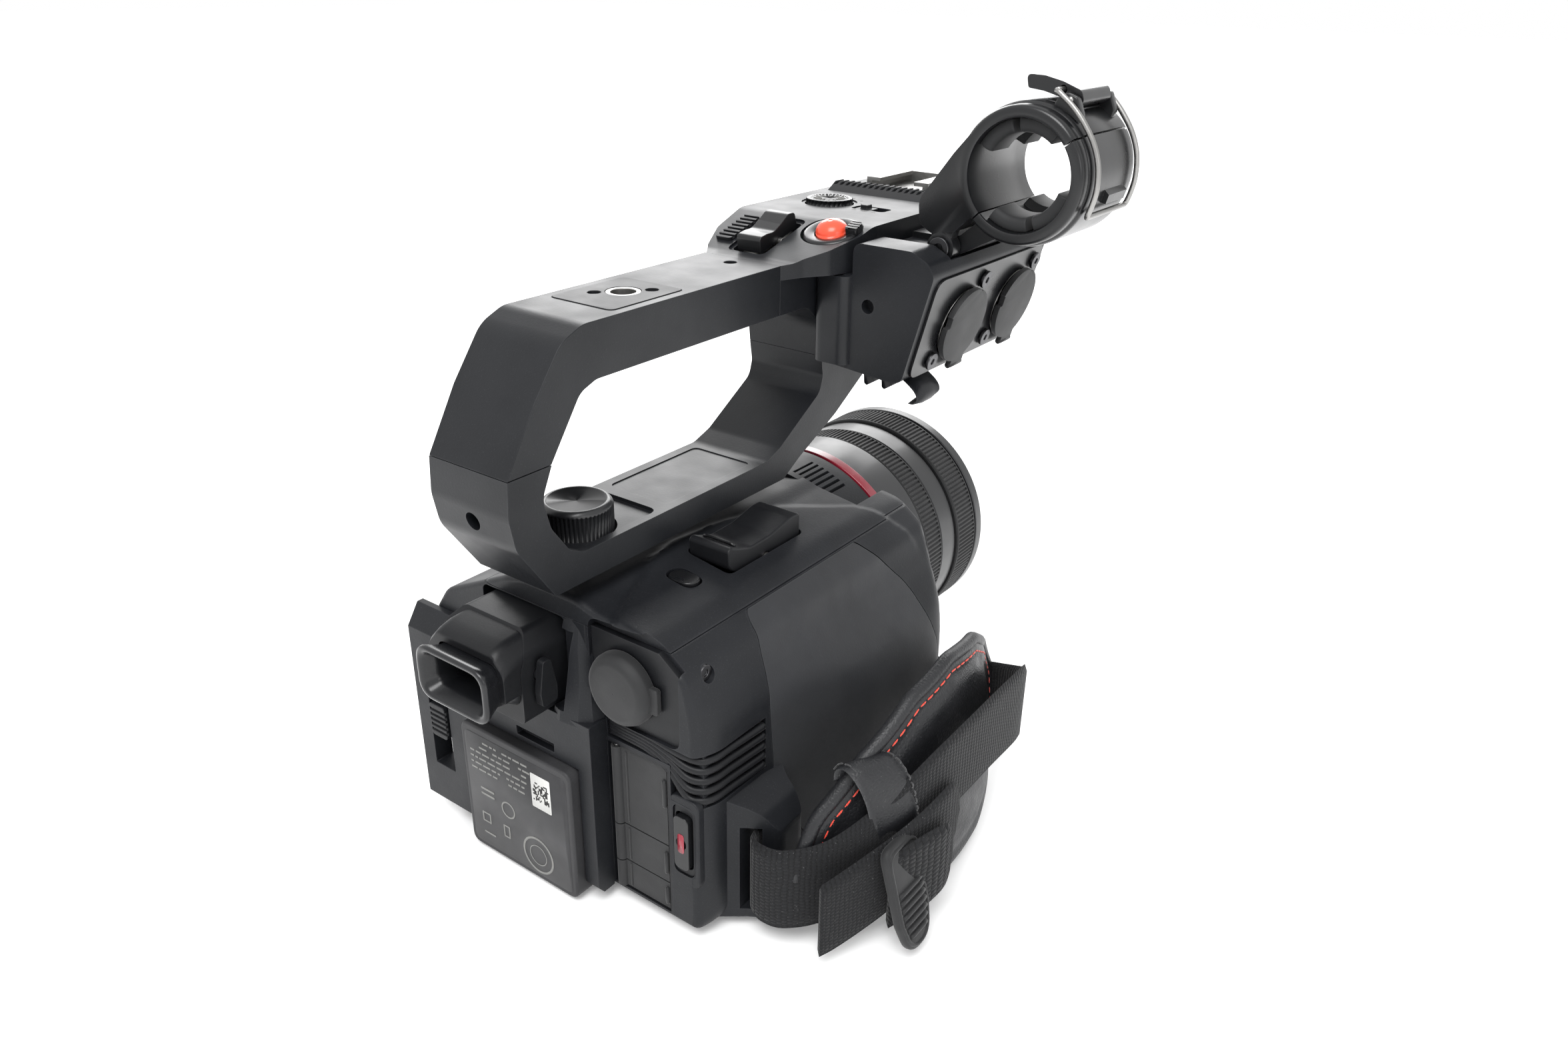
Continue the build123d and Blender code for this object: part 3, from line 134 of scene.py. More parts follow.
def plastic(name, colour, rough, grain=0.5, speck=0.25, wear=0.5, coat=0.0):
    """Moulded plastic: spark-eroded grain, tiny pale specks, dust haze and paler worn edges."""
    g = Graph(name)
    grain_fac = g.noise(1500.0, 3.0, 0.6)
    fleck = g.noise(2600.0, 1.0)
    haze = g.noise(38.0, 4.0, 0.55)
    base = g.ramp(haze, [(0.3, tint(colour, 0.86)), (0.7, tint(colour, 1.16, 0.002))])
    fleck_mask = g.span(fleck, 0.0, speck, 0.66, 0.74)
    base = g.mix(fleck_mask, base, tint(colour, 2.1, 0.02))
    patches = g.span(g.noise(160.0, 3.0), 0.2, 1.0, 0.35, 0.65)
    edge = g.times(g.edges(), g.times(patches, wear))
    base = g.mix(edge, base, tint(colour, 1.7, 0.018))
    matt = g.span(g.noise(70.0, 3.0), rough - 0.05, rough + 0.07, 0.3, 0.7)
    roughness = g.plus(matt, g.times(edge, -0.12))
    normal = g.bump(grain_fac, grain, 0.00006)
    return g.set(Base_Color=base, Roughness=roughness, Normal=normal, Coat_Weight=coat, Coat_Roughness=0.25,
                 Specular_IOR_Level=0.28)


def rubber(name, colour, rough=0.62, grain=0.35):
    """Moulded rubber: a dusty haze, pale dust specks and a soft sheen."""
    g = Graph(name)
    haze = g.noise(55.0, 4.0, 0.6)
    dust = g.span(g.noise(900.0, 2.0), 0.0, 0.5, 0.66, 0.8)
    base = g.ramp(haze, [(0.3, tint(colour, 0.8)), (0.72, tint(colour, 1.25))])
    base = g.mix(g.times(dust, 0.5), base, tint(colour, 2.2, 0.01))
    edge = g.times(g.edges(0.0005), 0.45)
    base = g.mix(edge, base, tint(colour, 1.7, 0.015))
    return g.set(Base_Color=base, Roughness=g.span(g.noise(90.0, 3.0), rough - 0.06, rough + 0.08, 0.3, 0.7),
                 Normal=g.bump(g.noise(1900.0, 3.0), grain, 0.00005), Sheen_Weight=0.12, Sheen_Roughness=0.5)


def metal(name, colour, rough, grain=0.2, brushed=None):
    """Bare metal, streaked along one axis where it is brushed."""
    g = Graph(name)
    vector = g.coord.outputs["Object"]
    if brushed:
        vector = g.add("ShaderNodeMapping", {"Vector": vector, "Scale": brushed}).outputs["Vector"]
    streak = g.noise(900.0, 3.0, 0.6, vector)
    base = g.ramp(g.noise(60.0, 3.0), [(0.3, tint(colour, 0.82)), (0.7, tint(colour, 1.06))])
    return g.set(Base_Color=base, Metallic=1.0, Roughness=g.span(streak, rough - 0.06, rough + 0.1, 0.3,
            0.7), Normal=g.bump(streak, grain, 0.00002))


def paint(name, colour, rough, coat=0.3):
    """Lacquer with a faint haze and paler edges."""
    g = Graph(name)
    base = g.ramp(g.noise(45.0, 4.0), [(0.3, tint(colour, 0.88)), (0.7, tint(colour, 1.1))])
    edge = g.times(g.edges(0.0005), 0.4)
    base = g.mix(edge, base, tint(colour, 1.6, 0.02))
    matt = g.span(g.noise(120.0, 3.0), rough - 0.05, rough + 0.06, 0.3, 0.7)
    return g.set(Base_Color=base, Roughness=matt, Normal=g.bump(g.noise(2200.0, 2.0), 0.15, 0.00003),
                 Coat_Weight=coat, Coat_Roughness=0.18)


def lens_glass(name):
    """Coated glass seen against the dark inside of the barrel."""
    g = Graph(name)
    coat = g.ramp(g.noise(14.0, 2.0), [(0.35, (0.010, 0.012, 0.022)), (0.65, (0.022, 0.016, 0.030))])
    return g.set(Base_Color=coat, Roughness=0.03, Coat_Weight=1.0, Coat_Roughness=0.01,
                 Coat_Tint=(0.75, 0.82, 1.0, 1.0), Specular_IOR_Level=0.8,
                 Normal=g.bump(g.noise(400.0), 0.02, 0.00001))


MAT = {
    "shell": plastic("shell_plastic", (0.0082, 0.0090, 0.0112), 0.46, grain=0.55, speck=0.35),
    "trim": plastic("trim_plastic", (0.0060, 0.0064, 0.0078), 0.42, grain=0.35, speck=0.15),
    "handle": plastic("handle_plastic", (0.0078, 0.0086, 0.0106), 0.38, grain=0.4, speck=0.22, coat=0.05),
    "gloss": plastic("gloss_plastic", (0.0050, 0.0053, 0.0062), 0.30, grain=0.12, speck=0.05, coat=0.4),
    "soft": rubber("soft_touch", (0.0085, 0.0094, 0.0120), 0.58, 0.5),
    "rubber": rubber("moulded_rubber", (0.0062, 0.0065, 0.0074), 0.66),
    "lens": paint("lens_lacquer", (0.0085, 0.0090, 0.0105), 0.38),
    "red": paint("accent_red", (0.26, 0.012, 0.028), 0.30, 0.6),
    "orange": plastic("key_orange", (0.75, 0.07, 0.03), 0.25, grain=0.1, speck=0.05, coat=0.5),
    "glass": lens_glass("coated_glass"),
    "battery": plastic("battery_case", (0.030, 0.030, 0.032), 0.50, grain=0.4, speck=0.2),
    "steel": metal("brushed_steel", (0.36, 0.355, 0.345), 0.34, 0.3, (1.0, 12.0, 1.0)),
    "screw": metal("black_screw", (0.10, 0.10, 0.105), 0.35, 0.2),
    "inner": paint("inner_black", (0.02, 0.02, 0.02), 0.7, 0.0),
    "board": paint("circuit_green", (0.01, 0.08, 0.03), 0.4, 0.2),
    "screen": plastic("screen_lid", (0.0060, 0.0066, 0.0080), 0.36, grain=0.3, speck=0.12, coat=0.1),
}


def give(o, mat):
    """Make a material the only one of an object."""
    o.data.materials.clear()
    o.data.materials.append(MAT[mat])


def shade_smooth(mesh, on=True):
    mesh.polygons.foreach_set("use_smooth", [on] * len(mesh.polygons))


def add_bevel(o, width, segments, angle):
    """Round the edges sharper than an angle in degrees; the width is in metres."""
    bevel = o.modifiers.new("bevel", "BEVEL")
    bevel.width = width
    bevel.segments = segments
    bevel.limit_method = "ANGLE"
    bevel.angle_limit = math.radians(angle)


def add_normals(o, weight):
    normals = o.modifiers.new("normals", "WEIGHTED_NORMAL")
    normals.weight = weight
    normals.keep_sharp = True


def round_off(o, width, segments=3, angle=28.0, planar=1.2):
    """Weld a CAD node and round its edges by modifiers, which leave its own mesh as it is."""
    if o.data.has_custom_normals:
        with bpy.context.temp_override(object=o, active_object=o, selected_objects=[o]):
            bpy.ops.mesh.customdata_custom_splitnormals_clear()
    shade_smooth(o.data)
    weld = o.modifiers.new("weld", "WELD")
    weld.merge_threshold = 0.00002
    flat = o.modifiers.new("flat", "DECIMATE")
    flat.decimate_type = "DISSOLVE"
    flat.angle_limit = math.radians(planar)
    add_bevel(o, width, segments, angle)
    add_normals(o, 80)


# Material and edge radius in millimetres of the CAD nodes that are shown as they are.
LOOKS = {
    "base_plate": ("trim", 0.4), "threaded_inserts": ("steel", 0.2), "rear_bezel": ("shell", 0.6),
    "battery_catch": ("trim", 0.25), "rear_panels": ("trim", 0.4), "video_door": ("rubber", 0.4),
    "headphone_door": ("rubber", 0.4), "power_door": ("rubber", 0.4), "sockets": ("steel", 0.15),
    "rec_button": ("gloss", 0.5), "user_button": ("gloss", 0.4), "lens_barrel": ("lens", 0.4),
    "accent_ring": ("red", 0.3), "front_bezel": ("lens", 0.5), "glass_elements": ("glass", 0.1),
    "optics_core": ("inner", 0.2), "electronics": ("board", 0.1), "screen_hinge": ("trim", 0.4),
    "screen_panel": ("screen", 0.8), "handle_plate": ("trim", 0.15), "accessory_shoe": ("steel", 0.2),
    "slide_switch": ("trim", 0.2), "audio_cover": ("gloss", 0.3), "hinge_pins": ("steel", 0.1),
    "screws": ("screw", 0.15),
}
for node, (mat, width) in LOOKS.items():
    give(NODES[node], mat)
    round_off(NODES[node], width * MM)


# ---- mesh helpers ----------------------------------------------------------------------------
def link(name, data, mat=None):
    """New object of the scene from a mesh, a lamp or a camera."""
    o = bpy.data.objects.new(name, data)
    bpy.context.scene.collection.objects.link(o)
    if mat:
        data.materials.append(MAT[mat])
    return o


def from_bmesh(name, bm, mat=None, smooth=True):
    bmesh.ops.recalc_face_normals(bm, faces=bm.faces)
    mesh = bpy.data.meshes.new(name)
    bm.to_mesh(mesh)
    bm.free()
    shade_smooth(mesh, smooth)
    return link(name, mesh, mat)


def bridge(bm, rings, closed=False, caps=True):
    """Faces between neighbouring rings of vertices, joined end to end if closed and otherwise capped."""
    for a, b in zip(rings, rings[1:] + rings[:1] if closed else rings[1:]):
        for i in range(len(a)):
            j = (i + 1) % len(a)
            bm.faces.new((a[i], a[j], b[j], b[i]))
    if caps and not closed:
        bm.faces.new(rings[0])
        bm.faces.new(rings[-1])


def rounded(points, radius, steps=6, closed=True):
    """Outline with rounded corners; radius is one number or one per corner."""
    out, n = [], len(points)
    for i in range(n):
        r = radius[i] if isinstance(radius, (list, tuple)) else radius
        b = Vector(points[i])
        if r <= 0 or (not closed and i in (0, n - 1)):
            out.append(tuple(b))
            continue
        u, v = Vector(points[i - 1]) - b, Vector(points[(i + 1) % n]) - b
        angle = u.angle(v)
        t = min(r / math.tan(angle / 2) if angle < 3.13 else 0.1, 0.49 * u.length, 0.49 * v.length)
        u, v = u.normalized() * t, v.normalized() * t
        for k in range(steps + 1):
            s = k / steps
            out.append(tuple((b + u) * (1 - s) ** 2 + b * 2 * s * (1 - s) + (b + v) * s * s))
    return out


def rounded_each(points, steps):
    """Rounded outline from (u, v, corner radius) points."""
    return rounded([p[:2] for p in points], [p[2] for p in points], steps)


def run_along(p):
    """Distance of each point from the first, along the line through them."""
    return np.concatenate([[0], np.cumsum(np.linalg.norm(np.diff(p, axis=0), axis=1))])


def resample(points, count, closed=True):
    """Points at equal steps along an outline."""
    p = np.array(points + [points[0]] if closed else points, float)
    s = run_along(p)
    at = np.linspace(0, s[-1], count, endpoint=not closed)
    return [tuple(np.interp(a, s, p[:, k]) for k in range(p.shape[1])) for a in at]


def place(axis, along, u, v):
    """A point from one coordinate along an axis and the two others in order, in metres."""
    return Vector({"X": (along, u, v), "Y": (u, along, v), "Z": (u, v, along)}[axis]) * MM


def prism(name, outline, axis, a, b, mat=None, smooth=True):
    """Closed prism of an outline between two places along an axis, in millimetres."""
    bm = bmesh.new()
    low = [bm.verts.new(place(axis, a, *p)) for p in outline]
    high = [bm.verts.new(place(axis, b, *p)) for p in outline]
    bm.faces.new(low)
    bm.faces.new(high)
    for i in range(len(outline)):
        j = (i + 1) % len(outline)
        bm.faces.new((low[i], low[j], high[j], high[i]))
    return from_bmesh(name, bm, mat, smooth)


def block(x0, x1, y0, y1, z0, z1):
    return prism("cutter", [(x0, y0), (x1, y0), (x1, y1), (x0, y1)], "Z", z0, z1)


def slab_outline(u0, u1, v0, v1, r, steps=6):
    return rounded([(u0, v0), (u1, v0), (u1, v1), (u0, v1)], r, steps)


def disc_outline(u, v, r, count=48):
    angles = [2 * math.pi * i / count for i in range(count)]
    return [(u + r * math.cos(a), v + r * math.sin(a)) for a in angles]


def slab(axis, a, b, *outline):
    """Slab with rounded corners between two places along an axis, to cut or to join with."""
    return prism("c", slab_outline(*outline), axis, a, b)


def rod(axis, a, b, *outline):
    """Round bar between two places along an axis, to cut or to join with."""
    return prism("c", disc_outline(*outline), axis, a, b)


def bake(o):
    """Apply all modifiers of an object to its mesh."""
    evaluated = o.evaluated_get(bpy.context.evaluated_depsgraph_get())
    mesh = bpy.data.meshes.new_from_object(evaluated)
    o.modifiers.clear()
    old, o.data = o.data, mesh
    bpy.data.meshes.remove(old)
    return o


def drop(*objects):
    for o in objects:
        bpy.data.objects.remove(o)


def boolean(o, others, operation="DIFFERENCE", solver="EXACT"):
    """Cut, join or intersect with other meshes, which are used up."""
    for other in others:
        mod = o.modifiers.new("boolean", "BOOLEAN")
        mod.object = other
        mod.operation = operation
        mod.solver = solver
    bake(o)
    drop(*others)
    return o


def copy_of(o, name):
    return link(name, o.data.copy())


def soften(o, width, segments=3, angle=30.0, mat=None):
    """Round the sharp edges of a piece, and smooth its shading."""
    add_bevel(o, width * MM, segments, angle)
    bake(o)
    add_normals(o, 60)
    shade_smooth(o.data)
    if mat:
        give(o, mat)
    return o


def stand(o, body, slot, *nodes):
    """Seat a finished piece on its body and hide the nodes it stands for; the slot is not used."""
    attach(o, body)
    if nodes:
        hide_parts(*nodes)
    return o


def seat(o, edges, body, slot, *nodes):
    """Round a piece by soften's arguments, then seat it."""
    return stand(soften(o, *edges), body, slot, *nodes)


def spin(name, profile, centre, axis="Y", count=96, mat=None):
    """Closed ring turned from a profile of (along, radius) points round an axis through centre."""
    bm = bmesh.new()
    rings = []
    for along, r in profile:
        ring = []
        for i in range(count):
            a = 2 * math.pi * i / count
            u, v = centre[0] + r * math.cos(a), centre[1] + r * math.sin(a)
            ring.append(bm.verts.new(place(axis, along, u, v)))
        rings.append(ring)
    bridge(bm, rings, closed=True)
    return from_bmesh(name, bm, mat)


# ---- body ------------------------------------------------------------------------------------
SECTION = [  # (x, z, corner radius)
    (45.0, 3.0, 4.0), (45.0, 67.0, 5.0), (40.0, 74.0, 7.0), (15.0, 86.0, 12.0), (8.0, 88.0, 12.0),
    (-11.0, 88.0, 12.0), (-16.0, 86.5, 12.0), (-36.0, 83.5, 12.0), (-45.0, 77.0, 6.0), (-50.5, 66.0, 12.0),
    (-56.5, 57.0, 20.0), (-62.4, 45.0, 20.0), (-62.8, 30.0, 20.0), (-57.0, 10.0, 12.0), (-50.0, 3.0, 6.0),
]
PLAN = [
    (-62, -38), (-60.5, -47), (-56, -55.5), (-47, -60.6), (-30, -62.4), (-12, -60.4), (9, -55.3),
    (25, -51.2), (46, -51.0), (51, -48.0),
]
GRIP_EDGE = [
    (-60, -60), (-44, -30), (-27, -16), (-5, -10.6), (12, -8.5), (22, -10.5), (35, -16.4), (47, -21.5),
    (60, -28),
]
SPLIT_Z = 82.0  # height where the top cover meets the side shells
SEAM_X = -14.0  # where the left shell meets the grip shell
LENS_AXIS = (0, 51.0)


def read_off(x, points):
    """Value at x of the broken line through (x, value) points."""
    return np.interp(x, *zip(*points))


def smax(a, b, k):
    """The larger of two values, blended where they are nearer than k."""
    h = np.maximum(k - np.abs(a - b), 0.0) / k
    return np.maximum(a, b) + h * h * k / 4


def step(a, b, x):
    """Smooth step from 0 at a to 1 at b."""
    t = np.clip((x - a) / (b - a), 0, 1)
    return t * t * (3 - 2 * t)


def body_skin(step_y=1.2):
    """Smooth outer form of the whole body as one closed loft along Y."""
    base = np.array(resample(rounded_each(SECTION, 7), 300))
    ys = np.arange(-62, 51.01, 0.25)
    left = read_off(ys, PLAN)
    kernel = np.exp(-0.5 * (np.arange(-24, 25) * 0.25 / 2.2) ** 2)
    left = np.convolve(np.pad(left, 24, mode="edge"), kernel / kernel.sum(), mode="valid")
    stations = [(51.0, 1.5), (50.8, 0.9), (50.4, 0.45), (49.8, 0.12), (49.2, 0.0)]
    stations += [(y, 0.0) for y in np.arange(48.4, -59.0, -step_y)]
    stations += [(-59.8, 0.08), (-60.8, 0.35), (-61.6, 0.9), (-62.0, 1.6)]
    bm = bmesh.new()
    rings = []
    for y, inset in stations:
        p = base.copy()
        limit = np.interp(y, ys, left)
        p[:, 0] = smax(p[:, 0], limit, 4.0)
        edge = read_off(y, GRIP_EDGE)
        raised = step(edge + 0.7, edge - 0.7, p[:, 0]) * step(70, 80, p[:, 1])
        tangent = np.roll(p, -1, 0) - np.roll(p, 1, 0)
        length = np.maximum(np.linalg.norm(tangent, axis=1), 1e-6)
        normal = np.stack([tangent[:, 1], -tangent[:, 0]], 1) / length[:, None]
        p = p + normal * (raised * 0.9 - inset)[:, None]
        rings.append([bm.verts.new(Vector((x, y, z)) * MM) for x, z in p])
    bridge(bm, rings)
    return from_bmesh("body_skin", bm)


def palm_outline(gap):
    points = [
        (23 - gap, 36 + gap), (25 - gap, 60), (22 - gap, 82.3 - gap), (-29 + gap, 82.3 - gap),
        (-43 + gap, 66), (-50 + gap, 36 + gap), (-52 + gap, 18), (-30, 7 + gap), (8, 8 + gap),
        (19 - gap, 22),
    ]
    return rounded(points, [6, 18, 6, 5, 16, 16, 10, 12, 10, 12])


def body_cutters():
    """Openings of the housing for the bay, the panels, the viewfinder, the keys and the louvres."""
    return [block(-15.2, 28.8, 18.4, 62, -1, 43.0), slab("Y", 44, 62, -40.2, -19.6, 4.0, 51.0, 1.2),
            slab("Y", 48.4, 62, -44.0, -15.0, 57.2, 85.0, 3.5),
            slab("Y", 44, 62, -6.9, 23.4, 57.2, 81.4, 2.0),
            slab("Z", 81, 96, -29.6, -14.4, -19.6, 13.6, 2.2),
            slab("Z", 80, 95, -27.3, -17.7, 20.2, 26.8, 3.2), rod("X", -56, -44.2, 42.5, 76.0, 2.15, 24),
            rod("Y", -70, -30, *LENS_AXIS, 33.1, 96), block(-30.0, 60, -70, -46.0, -1, 100),
            block(-60, -49.2, 26.4, 60, 41.7, 57.1), block(-52, -40.6, 48.4, 60, 41.7, 57.1),
            block(-52, -19.7, 48.4, 60, 51.9, 57.1),]


def make_body():
    skin = body_skin(1.2)
    boolean(skin, body_cutters())
    gap = 0.09
    parts = []
    for name, cut in (
        ("body_left", [block(SEAM_X + gap, 70, -80, 80, 3.05, SPLIT_Z - gap)]),
        ("body_top", [block(-80, 70, -80, 80, SPLIT_Z + gap, 100)]),
        ("body_grip", [block(-90, SEAM_X - gap, -80, 80, 3.05, SPLIT_Z - gap)]),
        ("palm_pad", [prism("c", palm_outline(0.15), "X", -90, -40.1)]),
    ):
        piece = boolean(copy_of(skin, name), cut, "INTERSECT")
        parts.append(piece)
    drop(skin)
    left, top, grip, palm = parts
    boolean(grip, [prism("c", palm_outline(-0.1), "X", -90, -40)])
    boolean(grip, [slab("Y", 44, 62, -47.7, -41.1, 19.9, 41.1, 2.0)], solver="FAST")
    boolean(top, [prism("c", palm_outline(-0.1), "X", -90, -40)])
    for o, width in ((left, 0.35), (top, 0.35), (grip, 0.35), (palm, 0.45)):
        soften(o, width, 3, 38, "soft" if o is palm else "shell")
    stand(left, "camera", "shell", "left_shell")
    stand(top, "camera", "shell", "top_cover")
    stand(grip, "camera", "shell", "grip_shell")
    stand(palm, "camera", "soft_grip", "palm_panel")


def make_nose():
    """Round nose of the housing that the lens stands in, with the slots of the two built-in microphones."""
    profile = [
        (-44.0, 33.2), (-61.4, 33.2), (-62.0, 33.8), (-62.0, 37.2), (-61.7, 37.9), (-61.0, 38.3),
        (-44.0, 38.3),
    ]
    nose = spin("nose", profile, LENS_AXIS, "Y", 128, "shell")
    slots = [start + 2.0 * i for start in (5.0, -19.0) for i in range(7)]
    boolean(nose, [block(x, x + 0.9, -56.5, -46.5, 70, 100) for x in slots])
    soften(nose, 0.12, 2, 40, "shell")
    return stand(nose, "camera", "shell", "mic_grilles")


def make_lugs():
    """Strap lugs of the grip."""
    plan = [(-47.0, 17.0), (-55.0, 22.0), (-62.5, 24.4), (-62.5, 34.4), (-55.0, 39.0), (-47.0, 45.0)]
    rear = prism("strap_lug_rear", rounded(plan, [0, 5, 4, 4, 6, 0], 6), "Z", 3.0, 45.0)
    wedge = [(-45.0, 3.0), (-58.0, 3.2), (-62.5, 6.0), (-62.5, 31.0), (-58.4, 36.4), (-45.0, 43.6)]
    boolean(rear, [prism("c", rounded(wedge, [0, 2, 2, 4, 5, 0], 6), "Y", 0, 60)], "INTERSECT")
    boolean(rear, [block(-58.4, -53.6, 20.0, 60.0, 5.8, 32.2)])
    seat(rear, (1.3, 4, 40, "shell"), "camera", "shell")
    front = prism("strap_lug_front", slab_outline(-64.0, -52.0, -58.0, -51.0, 2.0), "Z", 14.0, 36.0)
    seat(front, (1.0, 3, 35, "shell"), "camera", "shell")


# ---- handle ----------------------------------------------------------------------------------
JOIN_Z = 126.0  # height where the handle's lower and upper halves meet
FOOT = [  # (y, z, corner radius)
    (-32.0, 93.0, 0), (58.7, 93.0, 1.5), (69.4, 108.7, 9), (70.9, 117.0, 9), (70.3, JOIN_Z, 0),
    (57.1, JOIN_Z, 0), (60.6, 118.6, 6), (58.6, 110.6, 6), (53.4, 103.2, 3), (49.0, 101.0, 3),
    (-22.9, 101.0, 8), (-30.0, 103.4, 8), (-40.0, 109.4, 8), (-49.4, 115.0, 5), (-50.8, 119.6, 4),
    (-49.8, JOIN_Z, 0), (-88.0, JOIN_Z, 0), (-74.3, 115.7, 10), (-58.2, 106.0, 20), (-40.0, 97.6, 12),
]
GRIP = [
    (70.3, JOIN_Z, 0), (61.2, 141.1, 10), (52.0, 153.2, 10), (45.0, 156.0, 9), (-29.0, 156.0, 0),
    (-29.0, 142.3, 0), (41.6, 142.3, 6), (46.9, 140.4, 6), (57.1, JOIN_Z, 0),
]
NECK = [
    (-29.0, 142.3, 0), (-29.0, 152.0, 0), (-136.0, 152.0, 2), (-136.0, 131.0, 6), (-100.0, JOIN_Z, 8),
    (-49.8, JOIN_Z, 0), (-48.6, 136.0, 7), (-42.0, 142.3, 6),
]
HALF = 13.2  # half of the handle's width


def bar(name, outline, cut):
    """Part of the handle from its side outline, with openings and rounded edges."""
    o = prism(name, rounded_each(outline, 8), "X", -HALF, HALF)
    boolean(o, cut)
    return soften(o, 1.5, 4, 50, "handle")


def make_handle():
    """Both halves of the handle, a hair apart where they meet."""
    gap = 0.06
    foot = [(y, min(z, JOIN_Z - gap), r) for y, z, r in FOOT]
    grip = [(y, z + gap if abs(z - JOIN_Z) < 0.01 else z, r) for y, z, r in GRIP]
    cut = [slab("Z", 99.9, 125.0, -10.9, 10.9, 20.0, 60.0, 3.0), rod("Z", 97.2, 125.0, 0, 38.0, 9.9, 64),
           slab("Z", 100.7, 104.0, -10.2, 10.2, -20.0, 16.0, 2.0), rod("Y", 62.0, 80.0, 0, 113.0, 2.3, 32)]
    lower = bar("handle_lower", foot, cut)
    upper = bar("handle_upper", grip, [slab("Z", 155.6, 157.0, -10.4, 10.4, 7.0, 33.0, 2.0),
                                       rod("Z", 150, 157, 0, -24.0, 1.8, 32),
                                       rod("Z", 147, 157, 0, 18.0, 4.5, 32)])
    stand(lower, "camera", "handle", "handle_foot")
    stand(upper, "camera", "handle", "handle_grip")


make_body()
make_nose()
make_lugs()
make_handle()


# ---- hand strap ------------------------------------------------------------------------------
PAD_TOP = [
    (-60.5, 35.0), (-66.5, 27.0), (-72.0, 16.0), (-75.5, 2.0), (-76.0, -14.0), (-73.5, -32.0),
    (-68.5, -47.0), (-63.6, -56.0),
]
PAD_SIDE = [
    (38, 8), (38, 24), (31, 37), (19, 50), (2, 61), (-16, 64), (-36, 60), (-50, 51), (-59, 38), (-59, 18),
    (-50, 8), (-30, 3.4), (8, 3.4), (26, 4.0),
]
BAND = [  # (x, y, low z, high z) of the webbing's inner face
    (-64.6, -60.5, 13.5, 36.5), (-70.0, -59.6, 14.0, 38.5), (-76.0, -57.6, 15.6, 41.0),
    (-84.0, -52.0, 20.5, 46.0), (-87.8, -44.0, 26.0, 52.0), (-88.8, -28.0, 28.0, 53.6),
    (-88.8, -10.0, 27.8, 53.2), (-87.6, 4.0, 25.6, 51.0), (-82.8, 19.0, 17.6, 43.0),
    (-75.0, 31.0, 8.6, 34.4), (-67.4, 38.4, 6.6, 31.8), (-61.4, 40.0, 6.4, 31.4), (-57.4, 38.0, 6.4, 31.4),
    (-56.2, 32.0, 6.4, 31.4),
]


def spline(points, count):
    """Evenly spaced points on a smooth curve through the given ones."""
    p = np.array(points, float)
    p = np.vstack([2 * p[0] - p[1], p, 2 * p[-1] - p[-2]])
    out = []
    for i in range(1, len(p) - 2):
        for t in np.linspace(0, 1, 16, endpoint=False):
            square = (2 * p[i - 1] - 5 * p[i] + 4 * p[i + 1] - p[i + 2]) * t ** 2
            cube = (3 * p[i] - p[i - 1] - 3 * p[i + 1] + p[i + 2]) * t ** 3
            out.append(0.5 * (2 * p[i] + (p[i + 1] - p[i - 1]) * t + square + cube))
    out.append(p[-2])
    return np.array(resample([tuple(q) for q in out], count, closed=False))


def ribbon(name, low, high, thick, mat, across=9, out=1.0):
    """Flat strap between two edge lines, with rounded edges; its UVs are millimetres along and across it."""
    bm = bmesh.new()
    uv_layer = bm.loops.layers.uv.new("UVMap")
    low, high = np.array(low, float), np.array(high, float)
    middle = (low + high) / 2
    run = run_along(middle)
    rings = []
    for i in range(len(low)):
        tangent = middle[min(i + 1, len(low) - 1)] - middle[max(i - 1, 0)]
        up = high[i] - low[i]
        normal = np.cross(tangent, up)
        normal = normal / np.linalg.norm(normal) * out
        ring = []
        for side in (0, 1):
            for k in range(across):
                t = k / (across - 1)
                t = t if side == 0 else 1 - t
                edge = min(t, 1 - t) * np.linalg.norm(up)
                near = 1 - min(edge / (0.5 * thick), 1.0)
                pull = 0.5 * thick * (1 - math.sqrt(max(0.0, 1 - near ** 2)))
                depth = (thick - pull) if side == 0 else pull
                ring.append((bm.verts.new(Vector(low[i] + up * t + normal * depth) * MM),
                             (run[i], t * np.linalg.norm(up))))
        rings.append(ring)
    for a, b in zip(rings, rings[1:]):
        n = len(a)
        for k in range(n):
            j = (k + 1) % n
            face = bm.faces.new((a[k][0], a[j][0], b[j][0], b[k][0]))
            for loop, uv in zip(face.loops, (a[k][1], a[j][1], b[j][1], b[k][1])):
                loop[uv_layer].uv = (uv[0] * MM, uv[1] * MM)
    for ring in (rings[0], rings[-1]):
        face = bm.faces.new([vert for vert, _ in ring])
        for loop, (_, uv) in zip(face.loops, ring):
            loop[uv_layer].uv = (uv[0] * MM, uv[1] * MM)
    return from_bmesh(name, bm, mat)


def tube(name, points, radius, mat=None, sides=10):
    """Round wire, roll or rib through a line of points, with closed ends."""
    pts = [Vector(p) for p in points]
    bm = bmesh.new()
    rings, last = [], None
    for i, p in enumerate(pts):
        tangent = (pts[min(i + 1, len(pts) - 1)] - pts[max(i - 1, 0)]).normalized()
        if last is None:
            last = Vector((0, 0, 1)) if abs(tangent.z) < 0.9 else Vector((1, 0, 0))
        side = tangent.cross(last)
        up = side.cross(tangent).normalized()
        side = tangent.cross(up).normalized()
        last = up
        r = radius(i / (len(pts) - 1)) if callable(radius) else radius
        rings.append([bm.verts.new((p + (side * math.cos(a) + up * math.sin(a)) * r) * MM)
                      for a in [2 * math.pi * k / sides for k in range(sides)]])
    bridge(bm, rings)
    return from_bmesh(name, bm, mat)


